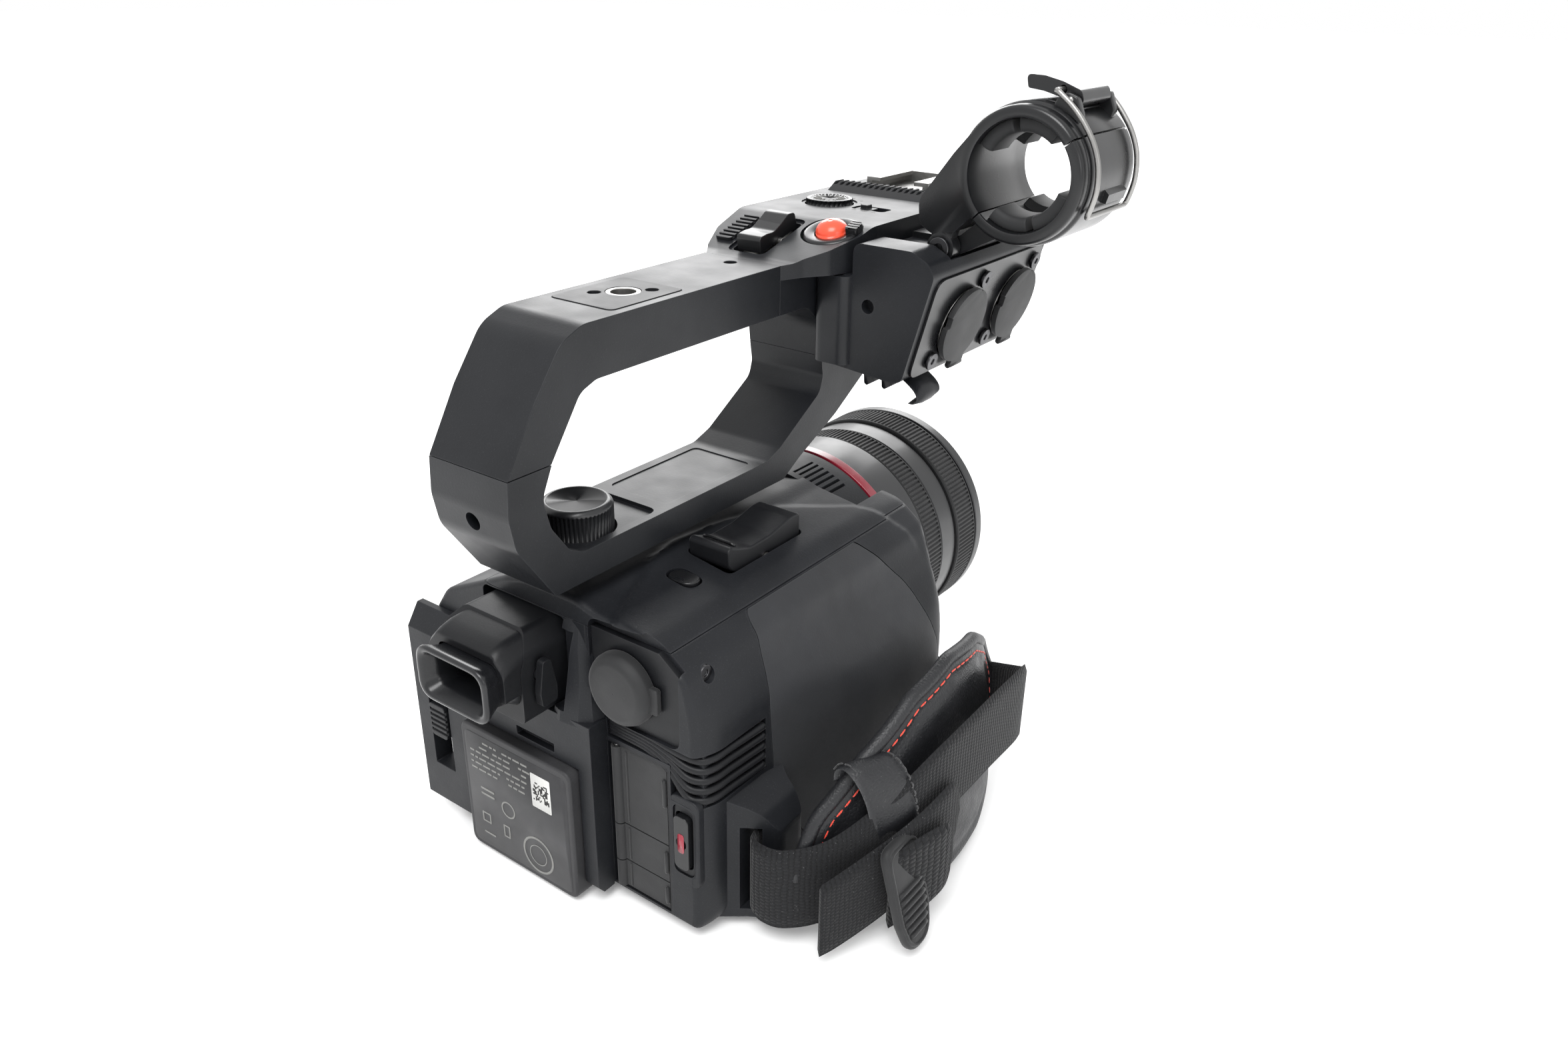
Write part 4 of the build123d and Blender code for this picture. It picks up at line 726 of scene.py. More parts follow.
def merge(name, parts):
    """One object from several."""
    bm = bmesh.new()
    mats = []
    for o in parts:
        offset = len(mats)
        mats.extend(o.data.materials)
        before = len(bm.faces)
        bm.from_mesh(o.data)
        bm.faces.ensure_lookup_table()
        for f in bm.faces[before:]:
            f.material_index += offset
    mesh = bpy.data.meshes.new(name)
    bm.to_mesh(mesh)
    bm.free()
    for m in mats:
        mesh.materials.append(m)
    shade_smooth(mesh)
    drop(*parts)
    return link(name, mesh)


def stitches(name, line, lift, length=2.3, pitch=3.3, radius=0.24, mat="thread"):
    """Row of sewn stitches along a line, each lifted a little along a direction."""
    pts = np.array(line)
    s = run_along(pts)
    parts = []
    for start in np.arange(0.4, s[-1] - length, pitch):
        run = [[np.interp(start + length * t, s, pts[:, k]) for k in range(3)]
               for t in (0, 0.12, 0.35, 0.65, 0.88, 1)]
        run = [Vector(p) + Vector(lift) * h for p, h in zip(run, (-0.15, 0.12, 0.24, 0.24, 0.12, -0.15))]
        parts.append(tube("s", run, radius, mat, 6))
    return merge(name, parts)


def pad_x(y):
    """Middle of the pad at its top edge."""
    return read_off(y, [(along, x) for x, along in PAD_TOP[::-1]])


def band_x(y):
    """Inner face of the webbing at a distance along the body."""
    return read_off(y, [(p[1], p[0]) for p in BAND[:-3]])


BAND_LOW = [(-60, 12), (-46, 24), (0, 24), (20, 12), (34, 4)]  # height where the webbing starts to press
LEAN = 8.0 / 62.0  # how far the pad leans away from the body for each millimetre down


def smooth_pad_x(y):
    return np.mean([pad_x(y + d) for d in (-6, -3, 0, 3, 6)])


def pad_point(y, z, side, thick):
    """A point on one side of the pad: side 1 is towards the body and -1 away from it."""
    x = smooth_pad_x(y) - 3.0 - LEAN * (66.0 - z) + side * thick
    if side < 0:
        inside = step(-6, 2, z - read_off(y, BAND_LOW)) if z < 58 else 0
        x = max(x, band_x(y) + 0.5) if inside > 0 else x
    return Vector((x, y, z))


def make_pad():
    """Padded leather back of the strap: crowned in the middle and thin where it is sewn at the edge."""
    edge = np.array(resample(rounded(PAD_SIDE, 9.0, 8), 132))
    centre = np.array([-10.0, 33.0])
    rings = [0.0, 0.12, 0.25, 0.38, 0.5, 0.62, 0.72, 0.8, 0.86, 0.91, 0.945, 0.97, 0.985, 0.995, 1.0]
    bm = bmesh.new()
    sides = {}
    for side in (1, -1):
        grid = []
        for r in rings[1:]:
            row = []
            for b in edge:
                y, z = centre + (b - centre) * r
                hem = 1.0 - step(0.80, 0.86, r) * (1 - step(0.88, 0.94, r)) * 0.42
                lip = max(0.0, 1 - max(0.0, (r - 0.97) / 0.03) ** 2)
                crown = 0.95 + 2.1 * math.sqrt(max(0.0, 1 - r ** 5))
                thick = crown * hem * math.sqrt(lip * 0.85 + 0.15)
                row.append(bm.verts.new(pad_point(y, z, side, thick) * MM))
            grid.append(row)
        middle = bm.verts.new(pad_point(*centre, side, 3.05) * MM)
        n = len(edge)
        for i in range(n):
            bm.faces.new((middle, grid[0][i], grid[0][(i + 1) % n]))
        bridge(bm, grid, caps=False)
        sides[side] = grid[-1]
    bridge(bm, [sides[1], sides[-1]], caps=False)
    pad = from_bmesh("strap_back", bm, "leather")
    sub = pad.modifiers.new("sub", "SUBSURF")
    sub.levels = sub.render_levels = 1
    bake(pad)
    shade_smooth(pad.data)
    stand(pad, "camera", "leather", "strap_pad")
    upper = [(y, z) for y, z in resample(rounded(PAD_SIDE, 9.0, 8), 400) if z > 12.0 + 0.1 * (y + 60)]
    start = max(range(len(upper)), key=lambda i: math.dist(upper[i], upper[i - 1]))
    upper = upper[start:] + upper[:start]
    line = [pad_point(y, z, 0, 0) for y, z in upper]
    roll = tube("strap_roll", line[::3], lambda t: 1.95 * min(1.0, 0.45 + 9 * min(t, 1 - t)), "leather", 14)
    stand(roll, "camera", "leather")
    inner = [(y * 0.935 + centre[0] * 0.065, z * 0.915 + centre[1] * 0.085) for y, z in upper]
    sewn = [pad_point(y, z, -1, 1.55) for y, z in inner][6:-6]
    thread = stitches("strap_stitching", [tuple(p) for p in sewn], (-1, 0, 0.15), 2.6, 3.2, 0.29)
    stand(thread, "camera", "leather")


def band_lines(points, count, shift=0.0):
    """Low and high edge lines of the webbing, moved outwards by shift."""
    curve = spline(points, count)
    low, high = [], []
    for i, (x, y, a, b) in enumerate(curve):
        nx, ny = curve[min(i + 1, count - 1)][:2] - curve[max(i - 1, 0)][:2]
        n = math.hypot(nx, ny)
        low.append((x - shift * ny / n, y + shift * nx / n, a))
        high.append((x - shift * ny / n, y + shift * nx / n, b))
    return low, high


def taper(low, high, count, by):
    """Round the first end of a strap by drawing its edge lines together."""
    for i in range(count):
        squeeze = by * (1 - math.sqrt(1 - (1 - i / count) ** 2))
        low[i] = (low[i][0], low[i][1], low[i][2] + squeeze)
        high[i] = (high[i][0], high[i][1], high[i][2] - squeeze)


def make_webbing():
    """Webbing round the pad, its loose end and the coarse pad sewn on that end."""
    low, high = band_lines(BAND, 220)
    main = ribbon("webbing_main", low, high, 1.6, "webbing", 13, -1.0)
    tail = [
        (-90.8, -4.0, 17.0, 41.0), (-90.4, 4.0, 15.4, 39.6), (-88.6, 12.0, 12.4, 36.6),
        (-85.8, 20.0, 9.0, 33.4), (-82.4, 28.0, 6.0, 30.4), (-79.4, 35.0, 4.0, 28.0),
        (-77.6, 39.0, 3.4, 26.6),
    ]
    low, high = band_lines(tail, 60)
    taper(low, high, 7, 11.0)
    back = ribbon("webbing_tail", low, high, 1.7, "webbing", 13, -1.0)
    pad = [
        (-92.9, 3.4, 11.6, 31.0), (-92.6, 8.0, 9.0, 32.4), (-91.2, 13.0, 7.8, 32.4),
        (-89.2, 19.0, 7.2, 31.6), (-87.6, 23.0, 6.6, 30.0),
    ]
    low, high = band_lines(pad, 44)
    taper(low, high, 6, 7.0)
    hook = ribbon("webbing_end_pad", low, high, 2.2, "webbing_coarse", 13, -1.0)
    for o in (main, back, hook):
        stand(o, "camera", "webbing", *(["strap_webbing"] if o is main else []))


def make_keeper():
    """Leather loop that holds the webbing to the pad, sewn along both edges."""
    path = [
        (-76.2, 45.6), (-76.8, 49.0), (-78.6, 50.6), (-81.0, 49.8), (-83.2, 46.6), (-84.7, 42.0),
        (-85.4, 36.0), (-85.6, 30.0), (-85.6, 24.0), (-85.4, 18.0), (-85.0, 12.0), (-84.0, 8.0),
    ]
    curve = spline(path, 60)
    low = [(x - 1.5, 12.6 - 0.17 * min(50 - z, 22), z) for x, z in curve]
    high = [(x + 4.2, 26.0 - 0.2 * min(50 - z, 22), z) for x, z in curve]
    loop = ribbon("strap_keeper", low, high, 1.5, "leather", 9, -1.0)
    stand(loop, "camera", "leather")
    rows = []
    for side, inset in ((low, 1.5), (high, -1.5)):
        line = []
        for i, (x, y, z) in enumerate(side):
            t = Vector(curve[min(i + 1, len(curve) - 1)]) - Vector(curve[max(i - 1, 0)])
            n = Vector((t.y, -t.x)).normalized() if t.length else Vector((1, 0))
            n = n if n.x < 0 or n.y > 0 else -n
            line.append((x + n.x * 1.5, y + inset, z + n.y * 1.5))
        rows.append(stitches("k", line[3:-3], (-0.7, 0, 0.7), 1.7, 2.5, 0.2, "thread_black"))
    stand(merge("strap_keeper_stitching", rows), "camera", "leather")


def make_pull_tab():
    """Rubber pull tab with cross ribs, hanging from the end of the webbing."""
    corners = [
        (-7.2, 16.0, 4), (7.2, 16.0, 4), (7.0, -6.0, 8), (4.6, -15.2, 7), (-4.6, -15.2, 7), (-7.0, -6.0, 8),
    ]
    shape = rounded_each(corners, 8)
    tab = prism("pull_tab", shape, "X", -1.3, 1.3, "rubber")
    soften(tab, 1.0, 3, 40, "rubber")
    ribs = []
    for i in range(7):
        z = -10.2 + 2.1 * i
        half = 5.4 - 0.10 * max(0.0, -z - 4) ** 1.5
        ribs.append(tube("r", [(-1.35, -half, z), (-1.5, -half * 0.6, z), (-1.5, half * 0.6, z),
                               (-1.35, half, z)], 0.62, "rubber", 8))
    rim = tube("r", [(-1.25, y * 0.86, z * 0.90 - 0.1)
                     for y, z in resample(shape, 90)] + [(-1.25, shape[0][0] * 0.86, shape[0][1] * 0.9)],
               0.5, "rubber", 8)
    o = merge("pull_tab_ribbed", [tab, rim] + ribs)
    lean = Matrix.Translation(Vector((-91.6, 20.0, 17.4)) * MM) @ Matrix.Rotation(math.radians(-15.0), 4,
            "Y").inverted()
    o.data.transform(lean)
    stand(o, "camera", "rubber")


def leather(name):
    g = Graph(name)
    inputs = {"Vector": g.coord.outputs["Object"], "Scale": 950.0, "Randomness": 0.9}
    cells = g.add("ShaderNodeTexVoronoi", inputs, feature="DISTANCE_TO_EDGE").outputs["Distance"]
    creases = g.noise(120.0, 5.0, 0.65)
    pebble = g.span(cells, 0.0, 1.0, 0.0, 0.35)
    height = g.plus(pebble, g.times(creases, 0.8))
    base = g.ramp(g.noise(48.0, 4.0), [(0.3, (0.0085, 0.0090, 0.0105)), (0.7, (0.0145, 0.0150, 0.0170))])
    base = g.mix(g.times(g.edges(0.0012), 0.5), base, (0.040, 0.041, 0.044, 1.0))
    base = g.mix(g.span(g.noise(1500.0, 1.0), 0.0, 0.35, 0.70, 0.76), base, (0.10, 0.10, 0.10, 1.0))
    return g.set(Base_Color=base, Roughness=g.span(creases, 0.36, 0.56, 0.3, 0.7),
                 Normal=g.bump(height, 0.45, 0.00012), Specular_IOR_Level=0.42)


def woven(name, pitch, yarn, depth):
    """Woven webbing: ribs across the strap, crossed by yarns that swap at each rib, with painted shade
    darkening the hollows of the weave, and a little lint.
    """
    g = Graph(name)
    uv = g.add("ShaderNodeUVMap", uv_map="UVMap").outputs["UV"]
    parts = g.add("ShaderNodeSeparateXYZ", {"Vector": uv}).outputs
    wobble = g.times(g.noise(260.0, 2.0), 0.0012)
    along = g.math("DIVIDE", g.plus(parts["X"], wobble), pitch)
    across = g.math("DIVIDE", parts["Y"], yarn)
    rib = g.math("ABSOLUTE", g.math("SINE", g.times(along, math.pi)))
    shift = g.times(g.math("FLOOR", along), 0.5)
    strand = g.math("ABSOLUTE", g.math("SINE", g.times(g.plus(across, shift), math.pi)))
    height = g.plus(g.times(rib, 0.7), g.times(strand, 0.45))
    fibre = g.noise(3200.0, 2.0)
    height = g.plus(height, g.times(fibre, 0.35))
    # painted shade: the low parts of the weave are coloured darker than the raised yarns, as if shaded
    base = g.ramp(height, [(0.25, (0.0018, 0.0018, 0.0021)), (0.95, (0.0105, 0.0108, 0.0120))])
    base = g.mix(g.span(g.noise(60.0, 3.0), 0.0, 0.35, 0.45, 0.75), base, (0.012, 0.0125, 0.0135, 1.0))
    base = g.mix(g.span(g.noise(2300.0, 1.0), 0.0, 0.4, 0.70, 0.76), base, (0.16, 0.16, 0.16, 1.0))
    return g.set(Base_Color=base, Roughness=0.82, Normal=g.bump(height, 0.9, depth), Sheen_Weight=0.10,
                 Sheen_Roughness=0.4, Specular_IOR_Level=0.25)


def cotton(name, colour):
    g = Graph(name)
    twist = g.noise(2600.0, 2.0)
    base = g.ramp(twist, [(0.3, tint(colour, 0.6)), (0.7, tint(colour, 1.2))])
    return g.set(Base_Color=base, Roughness=0.6, Normal=g.bump(twist, 0.5, 0.00008), Sheen_Weight=0.3)


MAT["leather"] = leather("black_leather")
MAT["webbing"] = woven("woven_webbing", 0.00135, 0.00105, 0.00022)
MAT["webbing_coarse"] = woven("woven_end_pad", 0.0021, 0.0014, 0.00045)
MAT["thread"] = cotton("red_thread", (0.78, 0.05, 0.02))
MAT["thread_black"] = cotton("black_thread", (0.020, 0.020, 0.022))
make_pad()
make_webbing()
make_keeper()
make_pull_tab()


# ---- rear of the body ------------------------------------------------------------------------
def loft(name, rings, mat, closed=False):
    """Surface through rings of 3-D points in millimetres, capped at both ends unless closed on itself."""
    bm = bmesh.new()
    bridge(bm, [[bm.verts.new(Vector(p) * MM) for p in ring] for ring in rings], closed)
    return from_bmesh(name, bm, mat)


def window(y, x0, x1, z0, z1, r):
    """Ring of points round a rounded rectangle in a plane of constant Y."""
    return [(u, y, v) for u, v in slab_outline(x0, x1, z0, z1, r, 8)]


def make_louvres():
    """Five rounded ribs that wrap the rear right corner."""
    ribs = []
    for i in range(5):
        rear, corner = 52.9 + 0.95 * i, 43.4 + 2.95 * i
        path = [
            (-19.9, 50.1, rear), (-26.0, 50.1, rear), (-33.0, 50.1, rear - 0.1 * (5 - i)),
            (-40.0, 50.1, (rear * 0.62 + corner * 0.38)), (-45.0, 49.7, corner + 0.5), (-48.6, 48.2, corner),
            (-50.1, 45.0, corner), (-50.4, 40.0, corner), (-50.9, 33.0, corner), (-51.4, 27.6, corner + 0.2),
        ]
        line = spline(path, 60)
        ribs.append(tube("rib", [tuple(p) for p in line], lambda t: 0.62 + 0.42 * float(step(0.25, 0.5, t)),
                         "trim", 10))
    floor = [
        (-19.6, 48.9), (-45.0, 48.9), (-48.6, 46.6), (-49.4, 44.0), (-50.0, 26.6), (-48.0, 26.6),
        (-46.0, 44.0), (-19.6, 46.9),
    ]
    back = prism("louvre_back", floor, "Z", 41.7, 57.1, "inner")
    ribs.append(back)
    o = merge("louvre_ribs", ribs)
    return stand(o, "camera", "trim", "vent_grille")


LABEL_Y = 60.0  # rear face of the battery, which carries the label


def printed(outline, axis, at, depth):
    """Thin pale mark on a face."""
    return prism("m", outline, axis, at, at + depth, "print")


def make_battery():
    """Slab battery with soft edges, a printed label with plain marks and a white patch."""
    o = prism("battery_case", slab_outline(-14.2, 27.8, 0.8, 42.0, 3.2, 8), "Y", 20.0, LABEL_Y)
    pockets = [block(-6.4 + 5.0 * i, -4.0 + 5.0 * i, 18, 21.5, 16, 26) for i in range(4)]
    boolean(o, pockets)
    seat(o, (0.9, 4, 40, "battery"), "battery", "battery", "battery")
    label = prism("battery_label", slab_outline(-12.6, 26.2, 2.4, 39.8, 2.0), "Y", LABEL_Y - 0.1,
                  LABEL_Y + 0.04, "label")
    stand(label, "battery", "battery")
    rng = random.Random(7)
    marks = []
    for ring_x, ring_z, r0, r1 in ((0.2, 9.0, 5.2, 5.9), (0.2, 9.0, 3.0, 3.3), (11.0, 19.0, 2.2, 2.7)):
        marks.append(spin("m", [(LABEL_Y, r0), (LABEL_Y, r1), (LABEL_Y + 0.07, r1), (LABEL_Y + 0.07, r0)],
                          (ring_x, ring_z), "Y", 48, "print"))
    for row in range(6):
        z, x = 37.6 - 1.9 * row, 24.5
        while x > 3.0:
            w = rng.uniform(1.0, 3.4)
            if rng.random() > 0.18:
                marks.append(printed(slab_outline(x - w, x, z - 0.3, z + 0.3, 0.12, 2), "Y", LABEL_Y, 0.07))
            x -= w + 0.5
    for x, z, w, h in ((19.0, 22.0, 5.4, 0.7), (19.0, 20.2, 5.4, 0.7), (20.5, 12.0, 3.4, 3.4),
                       (12.4, 11.0, 2.6, 4.2), (19.8, 6.6, 4.6, 0.6)):
        outer = printed(slab_outline(x - w / 2, x + w / 2, z - h / 2, z + h / 2, 0.3, 3), "Y", LABEL_Y, 0.07)
        if h > 2:
            du, dv = w / 2 - 0.5, h / 2 - 0.5
            boolean(outer, [slab("Y", 59, 61, x - du, x + du, z - dv, z + dv, 0.2, 3)])
            give(outer, "print")
        marks.append(outer)
    stand(merge("battery_print", marks), "battery", "battery")
    patch = prism("battery_patch", slab_outline(-6.6, 0.6, 25.8, 36.6, 0.4), "Y", LABEL_Y, LABEL_Y + 0.1,
                  "paper")
    stand(patch, "battery", "battery")
    dots = []
    for i in range(13):
        for k in range(13):
            if rng.random() < 0.5:
                x, z = -6.0 + 0.46 * i, 28.2 + 0.46 * k
                dots.append(prism("d", [(x, z), (x + 0.44, z), (x + 0.44, z + 0.44), (x, z + 0.44)], "Y",
                                  LABEL_Y + 0.09, LABEL_Y + 0.13, "ink"))
    stand(merge("battery_patch_dots", dots), "battery", "battery")


def make_finder():
    """Viewfinder hood, the rubber eyecup with its flared lip, and the dark window inside."""
    corners = [
        (-6.6, 57.4, 2), (-6.6, 76.0, 4), (-2.6, 81.2, 3), (18.6, 81.2, 3), (23.2, 76.6, 4), (23.2, 57.4, 2),
    ]
    hood = prism("finder_hood", rounded_each(corners, 6), "Y", 34.0, 66.0)
    slope = [(34, 57), (66.2, 57), (66.2, 72), (64.2, 76.6), (60.6, 81.4), (34, 81.4)]
    boolean(hood, [prism("c", rounded(slope, 1.5), "X", -20, 40)], "INTERSECT")
    boolean(hood, [slab("Y", 36, 70, -3.5, 16.5, 62.6, 76.6, 2.0)])
    boolean(hood, [rod("X", -9, -4.6, 60.0, 70.0, 2.2, 24)])
    seat(hood, (0.7, 3, 35, "trim"), "camera", "trim", "finder_housing")
    brow = []
    for y, fall, r in ((60.0, 0.0, 3.6), (66.0, 0.4, 3.6), (69.0, 1.2, 3.8), (70.6, 2.0, 4.0),
                       (71.2, 2.8, 4.0)):
        corners = [
            (-6.3, 66.0, 1), (-6.3, 76.6 - fall, r), (-2.6, 80.6 - fall, r), (17.6, 80.6 - fall, r),
            (21.2, 76.6 - fall, r), (21.2, 66.0, 1),
        ]
        brow.append([(x, y, z) for x, z in rounded_each(corners, 6)])
    visor = loft("finder_visor", brow, None)
    boolean(visor, [slab("Y", 58, 74, -4.4, 17.4, 62.0, 76.2, 3.0)])
    seat(visor, (0.35, 2, 45, "trim"), "camera", "trim")
    outline = [(57.4, 62.0), (62.4, 62.0), (62.8, 66.0), (61.4, 74.6), (58.8, 74.6), (57.2, 66.0)]
    lever = prism("focus_lever", rounded(outline, 1.2, 5), "X", -9.6, -7.4)
    spindle = rod("X", -7.5, -4.9, 60.0, 70.0, 1.9, 24)
    boolean(lever, [spindle], "UNION")
    seat(lever, (0.5, 3, 40, "trim"), "diopter_lever", "trim", "diopter_lever")
    crest = {
        55.6: [(-19.3, 50.2), (-18.6, 54.6), (-15.4, 57.0), (-9.6, 57.6), (-6.7, 56.6), (-6.7, 49.0),
               (-19.3, 49.0)],
        66.0: [(-17.6, 50.2), (-16.6, 52.8), (-14.6, 54.6), (-9.6, 55.2), (-6.7, 54.8), (-6.7, 49.0),
               (-17.6, 49.0)],
        76.0: [(-14.4, 50.2), (-13.6, 51.4), (-12.6, 52.4), (-9.6, 53.2), (-6.7, 53.0), (-6.7, 48.0),
               (-14.4, 48.0)],
        83.4: [(-12.0, 48.6), (-11.6, 49.2), (-11.0, 49.8), (-9.4, 50.4), (-6.7, 50.2), (-6.7, 46.0),
               (-12.0, 46.0)],
    }
    ridge = loft("rear_crest", [[(x, y, z) for x, y in pts] for z, pts in crest.items()], None)
    boolean(ridge, [slab("X", -10.6, -4.0, 49.0, 68.0, 58.4, 79.0, 0.5)])
    seat(ridge, (0.7, 3, 22, "shell"), "camera", "shell")
    x0, x1, z0, z1 = -6.4, 19.4, 62.0, 77.4
    lip = [  # (y, growth of the window, corner radius), round the outside and back inside
        (64.5, -1.2, 3.0), (66.2, -0.5, 3.6), (68.0, -1.5, 3.8), (71.5, -1.9, 4.0), (74.4, -0.8, 4.4),
        (75.9, -0.1, 4.8), (76.7, -0.2, 4.8), (77.0, -0.8, 4.6), (76.9, -1.5, 4.2), (76.2, -2.1, 3.8),
        (74.6, -2.7, 3.4), (73.9, -3.3, 3.0), (72.8, -3.7, 2.8), (68.0, -4.0, 2.6), (60.2, -4.2, 2.4),
        (60.0, -1.8, 2.4),
    ]
    rings = [window(y, x0 - g, x1 + g, z0 - g * 0.86, z1 + g * 0.86, r) for y, g, r in lip]
    cup = loft("eyecup_rubber", rings, "rubber_gloss", closed=True)
    stand(cup, "camera", "rubber", "finder_eyecup")
    pane = prism("eyepiece_window", slab_outline(-3.2, 16.2, 63.0, 76.4, 2.0), "Y", 57.6, 58.6, "glass")
    stand(pane, "camera", "glass")
    shade = prism("eyepiece_frame", slab_outline(-3.4, 16.4, 62.8, 76.5, 2.0), "Y", 58.6, 60.4)
    boolean(shade, [slab("Y", 50, 70, 0.2, 12.8, 65.6, 73.8, 1.2)])
    seat(shade, (0.3, 2, 40, "inner"), "camera", "trim")


def make_rocker():
    """Grip zoom rocker: a low rear step, a hollow for the finger and a broad raised front."""
    corners = [
        (-18.4, 83.6, 2), (-18.6, 91.6, 1.6), (-14.0, 91.6, 8), (-5.0, 89.6, 10), (4.0, 89.4, 8),
        (9.4, 91.2, 3), (11.8, 92.2, 1.2), (13.2, 91.4, 1.2), (12.8, 86.0, 3), (8.0, 83.4, 2),
        (0.0, 82.6, 3), (-6.0, 82.6, 3),
    ]
    o = prism("zoom_rocker_cap", rounded_each(corners, 7), "X", -28.8, -15.2)
    boolean(o, [rod("X", -30, -14, -3.0, 84.0, 1.3, 24)])
    seat(o, (1.1, 4, 32, "trim"), "zoom_rocker", "trim", "zoom_rocker")
    edge = tube("zoom_rocker_ridge", [(-27.2, 8.6, 91.15), (-26.0, 8.6, 91.45), (-18.0, 8.6, 91.45),
                                      (-16.8, 8.6, 91.15)], 0.45, "gloss", 8)
    stand(edge, "zoom_rocker", "trim")


def make_rear_keys():
    """Rear record key's mark and surround, the round socket cap, and the terminal covers' lips and seams."""
    mark = prism("rec_mark", slab_outline(-45.4, -43.4, 27.6, 33.4, 0.8), "Y", 51.9, 52.12, "red")
    stand(mark, "rec_button", "red_button")
    plate = prism("rec_plate", slab_outline(-49.4, -39.9, 17.0, 43.8, 2.6), "Y", 48.6, 50.95)
    boolean(plate, [slab("Y", 40, 60, -47.9, -40.9, 19.9, 41.1, 1.9)])
    seat(plate, (0.45, 3, 40, "shell"), "camera", "shell")
    well = prism("rec_well", slab_outline(-47.66, -41.14, 19.94, 41.06, 2.0), "Y", 45.0, 50.6)
    boolean(well, [slab("Y", 40, 60, -47.05, -41.75, 22.1, 38.9, 1.5)])
    seat(well, (0.3, 2, 40, "trim"), "camera", "trim")
    profile = [
        (50.3, 5.2), (52.6, 5.2), (52.6, 0.01), (55.0, 0.01), (55.0, 7.2), (54.7, 8.2), (54.0, 9.1),
        (53.0, 9.6), (52.4, 9.8), (50.3, 9.8),
    ]
    cap = spin("socket_cap", profile, (-26.5, 69.0), "Y", 64)
    tongue = slab("Y", 50.4, 52.0, -38.0, -30.0, 65.4, 72.6, 1.0)
    o = merge("socket_cap", [cap, tongue])
    seat(o, (0.3, 2, 45, "rubber"), "sdi_cap", "rubber", "sdi_cap")
    covers = {"video_door": ((38.0, 46.0), (27.0, 49.0)), "headphone_door": ((17.0, 23.5), (14.6, 25.0)),
              "power_door": ((7.0, 12.0), (5.6, 13.2))}
    for body, (lip, seam) in covers.items():
        for kind, (low, high), (x, y), (dx, dy, dz), radius, sides in (
                ("lip_", lip, (-38.1, 50.4), (-0.2, 0.35, 0.6), 0.62, 8),
                ("seam_", seam, (-25.4, 50.35), (0.0, 0.07, 0.5), 0.3, 6)):
            line = [(x, y, low), (x + dx, y + dy, low + dz), (x + dx, y + dy, high - dz), (x, y, high)]
            stand(tube(kind + body, line, radius, "rubber", sides), body, "rubber")


def ribbed(name, profile, centre, axis, count, depth, mat, lo, hi):
    """Ring turned from a profile, with straight ribs on its outer face between two places along the axis."""
    bm = bmesh.new()
    rings = []
    steps = count * 4
    for along, r in profile:
        ring = []
        for i in range(steps):
            a = 2 * math.pi * (i + (0.25 if i % 4 in (1, 3) else 0) * (1 if i % 4 == 1 else -1)) / steps
            low = i % 4 in (2, 3) and lo <= along <= hi and r > profile[0][1]
            rr = r - depth if low else r
            u, v = centre[0] + rr * math.cos(a), centre[1] + rr * math.sin(a)
            ring.append(bm.verts.new(place(axis, along, u, v)))
        rings.append(ring)
    bridge(bm, rings, closed=True)
    return from_bmesh(name, bm, mat, smooth=False)


def make_ribbed_rings():
    """Ribbed zoom and focus rings of the lens, and the handle's knurled lock knob."""
    rings = {"zoom_ring": (-81.0, -91.0, 36.3, 0.8, 150), "focus_ring": (-100.4, -112.6, 37.0, 0.9, 160)}
    for body, (back, front, r, edge, count) in rings.items():
        lo, hi = round(front + edge + 0.01, 2), round(back - edge - 0.01, 2)
        profile = [
            (back, 33.3), (front, 33.3), (front, r - 0.5), (front + 0.4, r - 0.1), (front + edge, r),
            (lo, r), (hi, r), (back - edge, r), (back - 0.4, r - 0.1), (back, r - 0.5),
        ]
        ring = ribbed(body + "_ribbed", profile, LENS_AXIS, "Y", count, 0.5, "rubber", lo, hi)
        stand(ring, body, "rubber", body)
    knob = [
        (97.6, 0.01), (97.6, 8.6), (98.2, 9.2), (98.5, 9.3), (98.51, 9.3), (105.99, 9.3), (106.0, 9.3),
        (106.6, 9.1), (107.3, 8.5), (107.5, 7.9), (107.4, 7.5), (106.9, 7.3), (106.9, 0.01),
    ]
    o = ribbed("lock_knob_knurled", knob, (0, 38.0), "Z", 52, 0.45, "lens", 98.51, 105.99)
    shaft = prism("c", disc_outline(0, 38.0, 2.4, 24), "Z", 88.0, 97.7, "steel")
    stand(merge("lock_knob_top", [o, shaft]), "lock_knob", "lens_black", "lock_knob")


# ---- top handle's front ----------------------------------------------------------------------
RECORD_AT = (-13.6, -52.5)  # (x, y) of the handle's record key, with the hold ring round it
ROCKER_AT = (3.4, -45.0)
REST_AT = (14.2, -45.5)
DIAL_AT = (7.4, -82.0)
KNOBS = {"audio_knob_front": -104.0, "audio_knob_rear": -74.0}
KNOB_Z = 140.5
DECK_PLAN = [
    (12.6, -29.0), (17.0, -35.0), (21.5, -45.0), (23.0, -58.0), (23.0, -134.0), (20.0, -138.0),
    (-19.5, -138.0), (-22.5, -134.0), (-24.0, -60.0), (-23.6, -52.0), (-20.0, -42.0), (-16.0, -36.0),
    (-13.2, -29.0),
]
DECK_SIDE = [
    (-29.0, 152.0), (-29.0, 156.0), (-33.0, 156.2), (-58.0, 163.5), (-138.0, 163.5), (-138.0, 152.0),
]
RAMP = math.atan2(7.3, 25.0)


def on_ramp(x, y, o):
    """Move a piece built round the origin in millimetres onto the sloping rear part of the deck."""
    z = 156.2 + (-33.0 - y) * math.tan(RAMP)
    o.data.transform(Matrix.Translation(Vector((x, y, z)) * MM) @ Matrix.Rotation(-RAMP, 4, "X"))
    return o


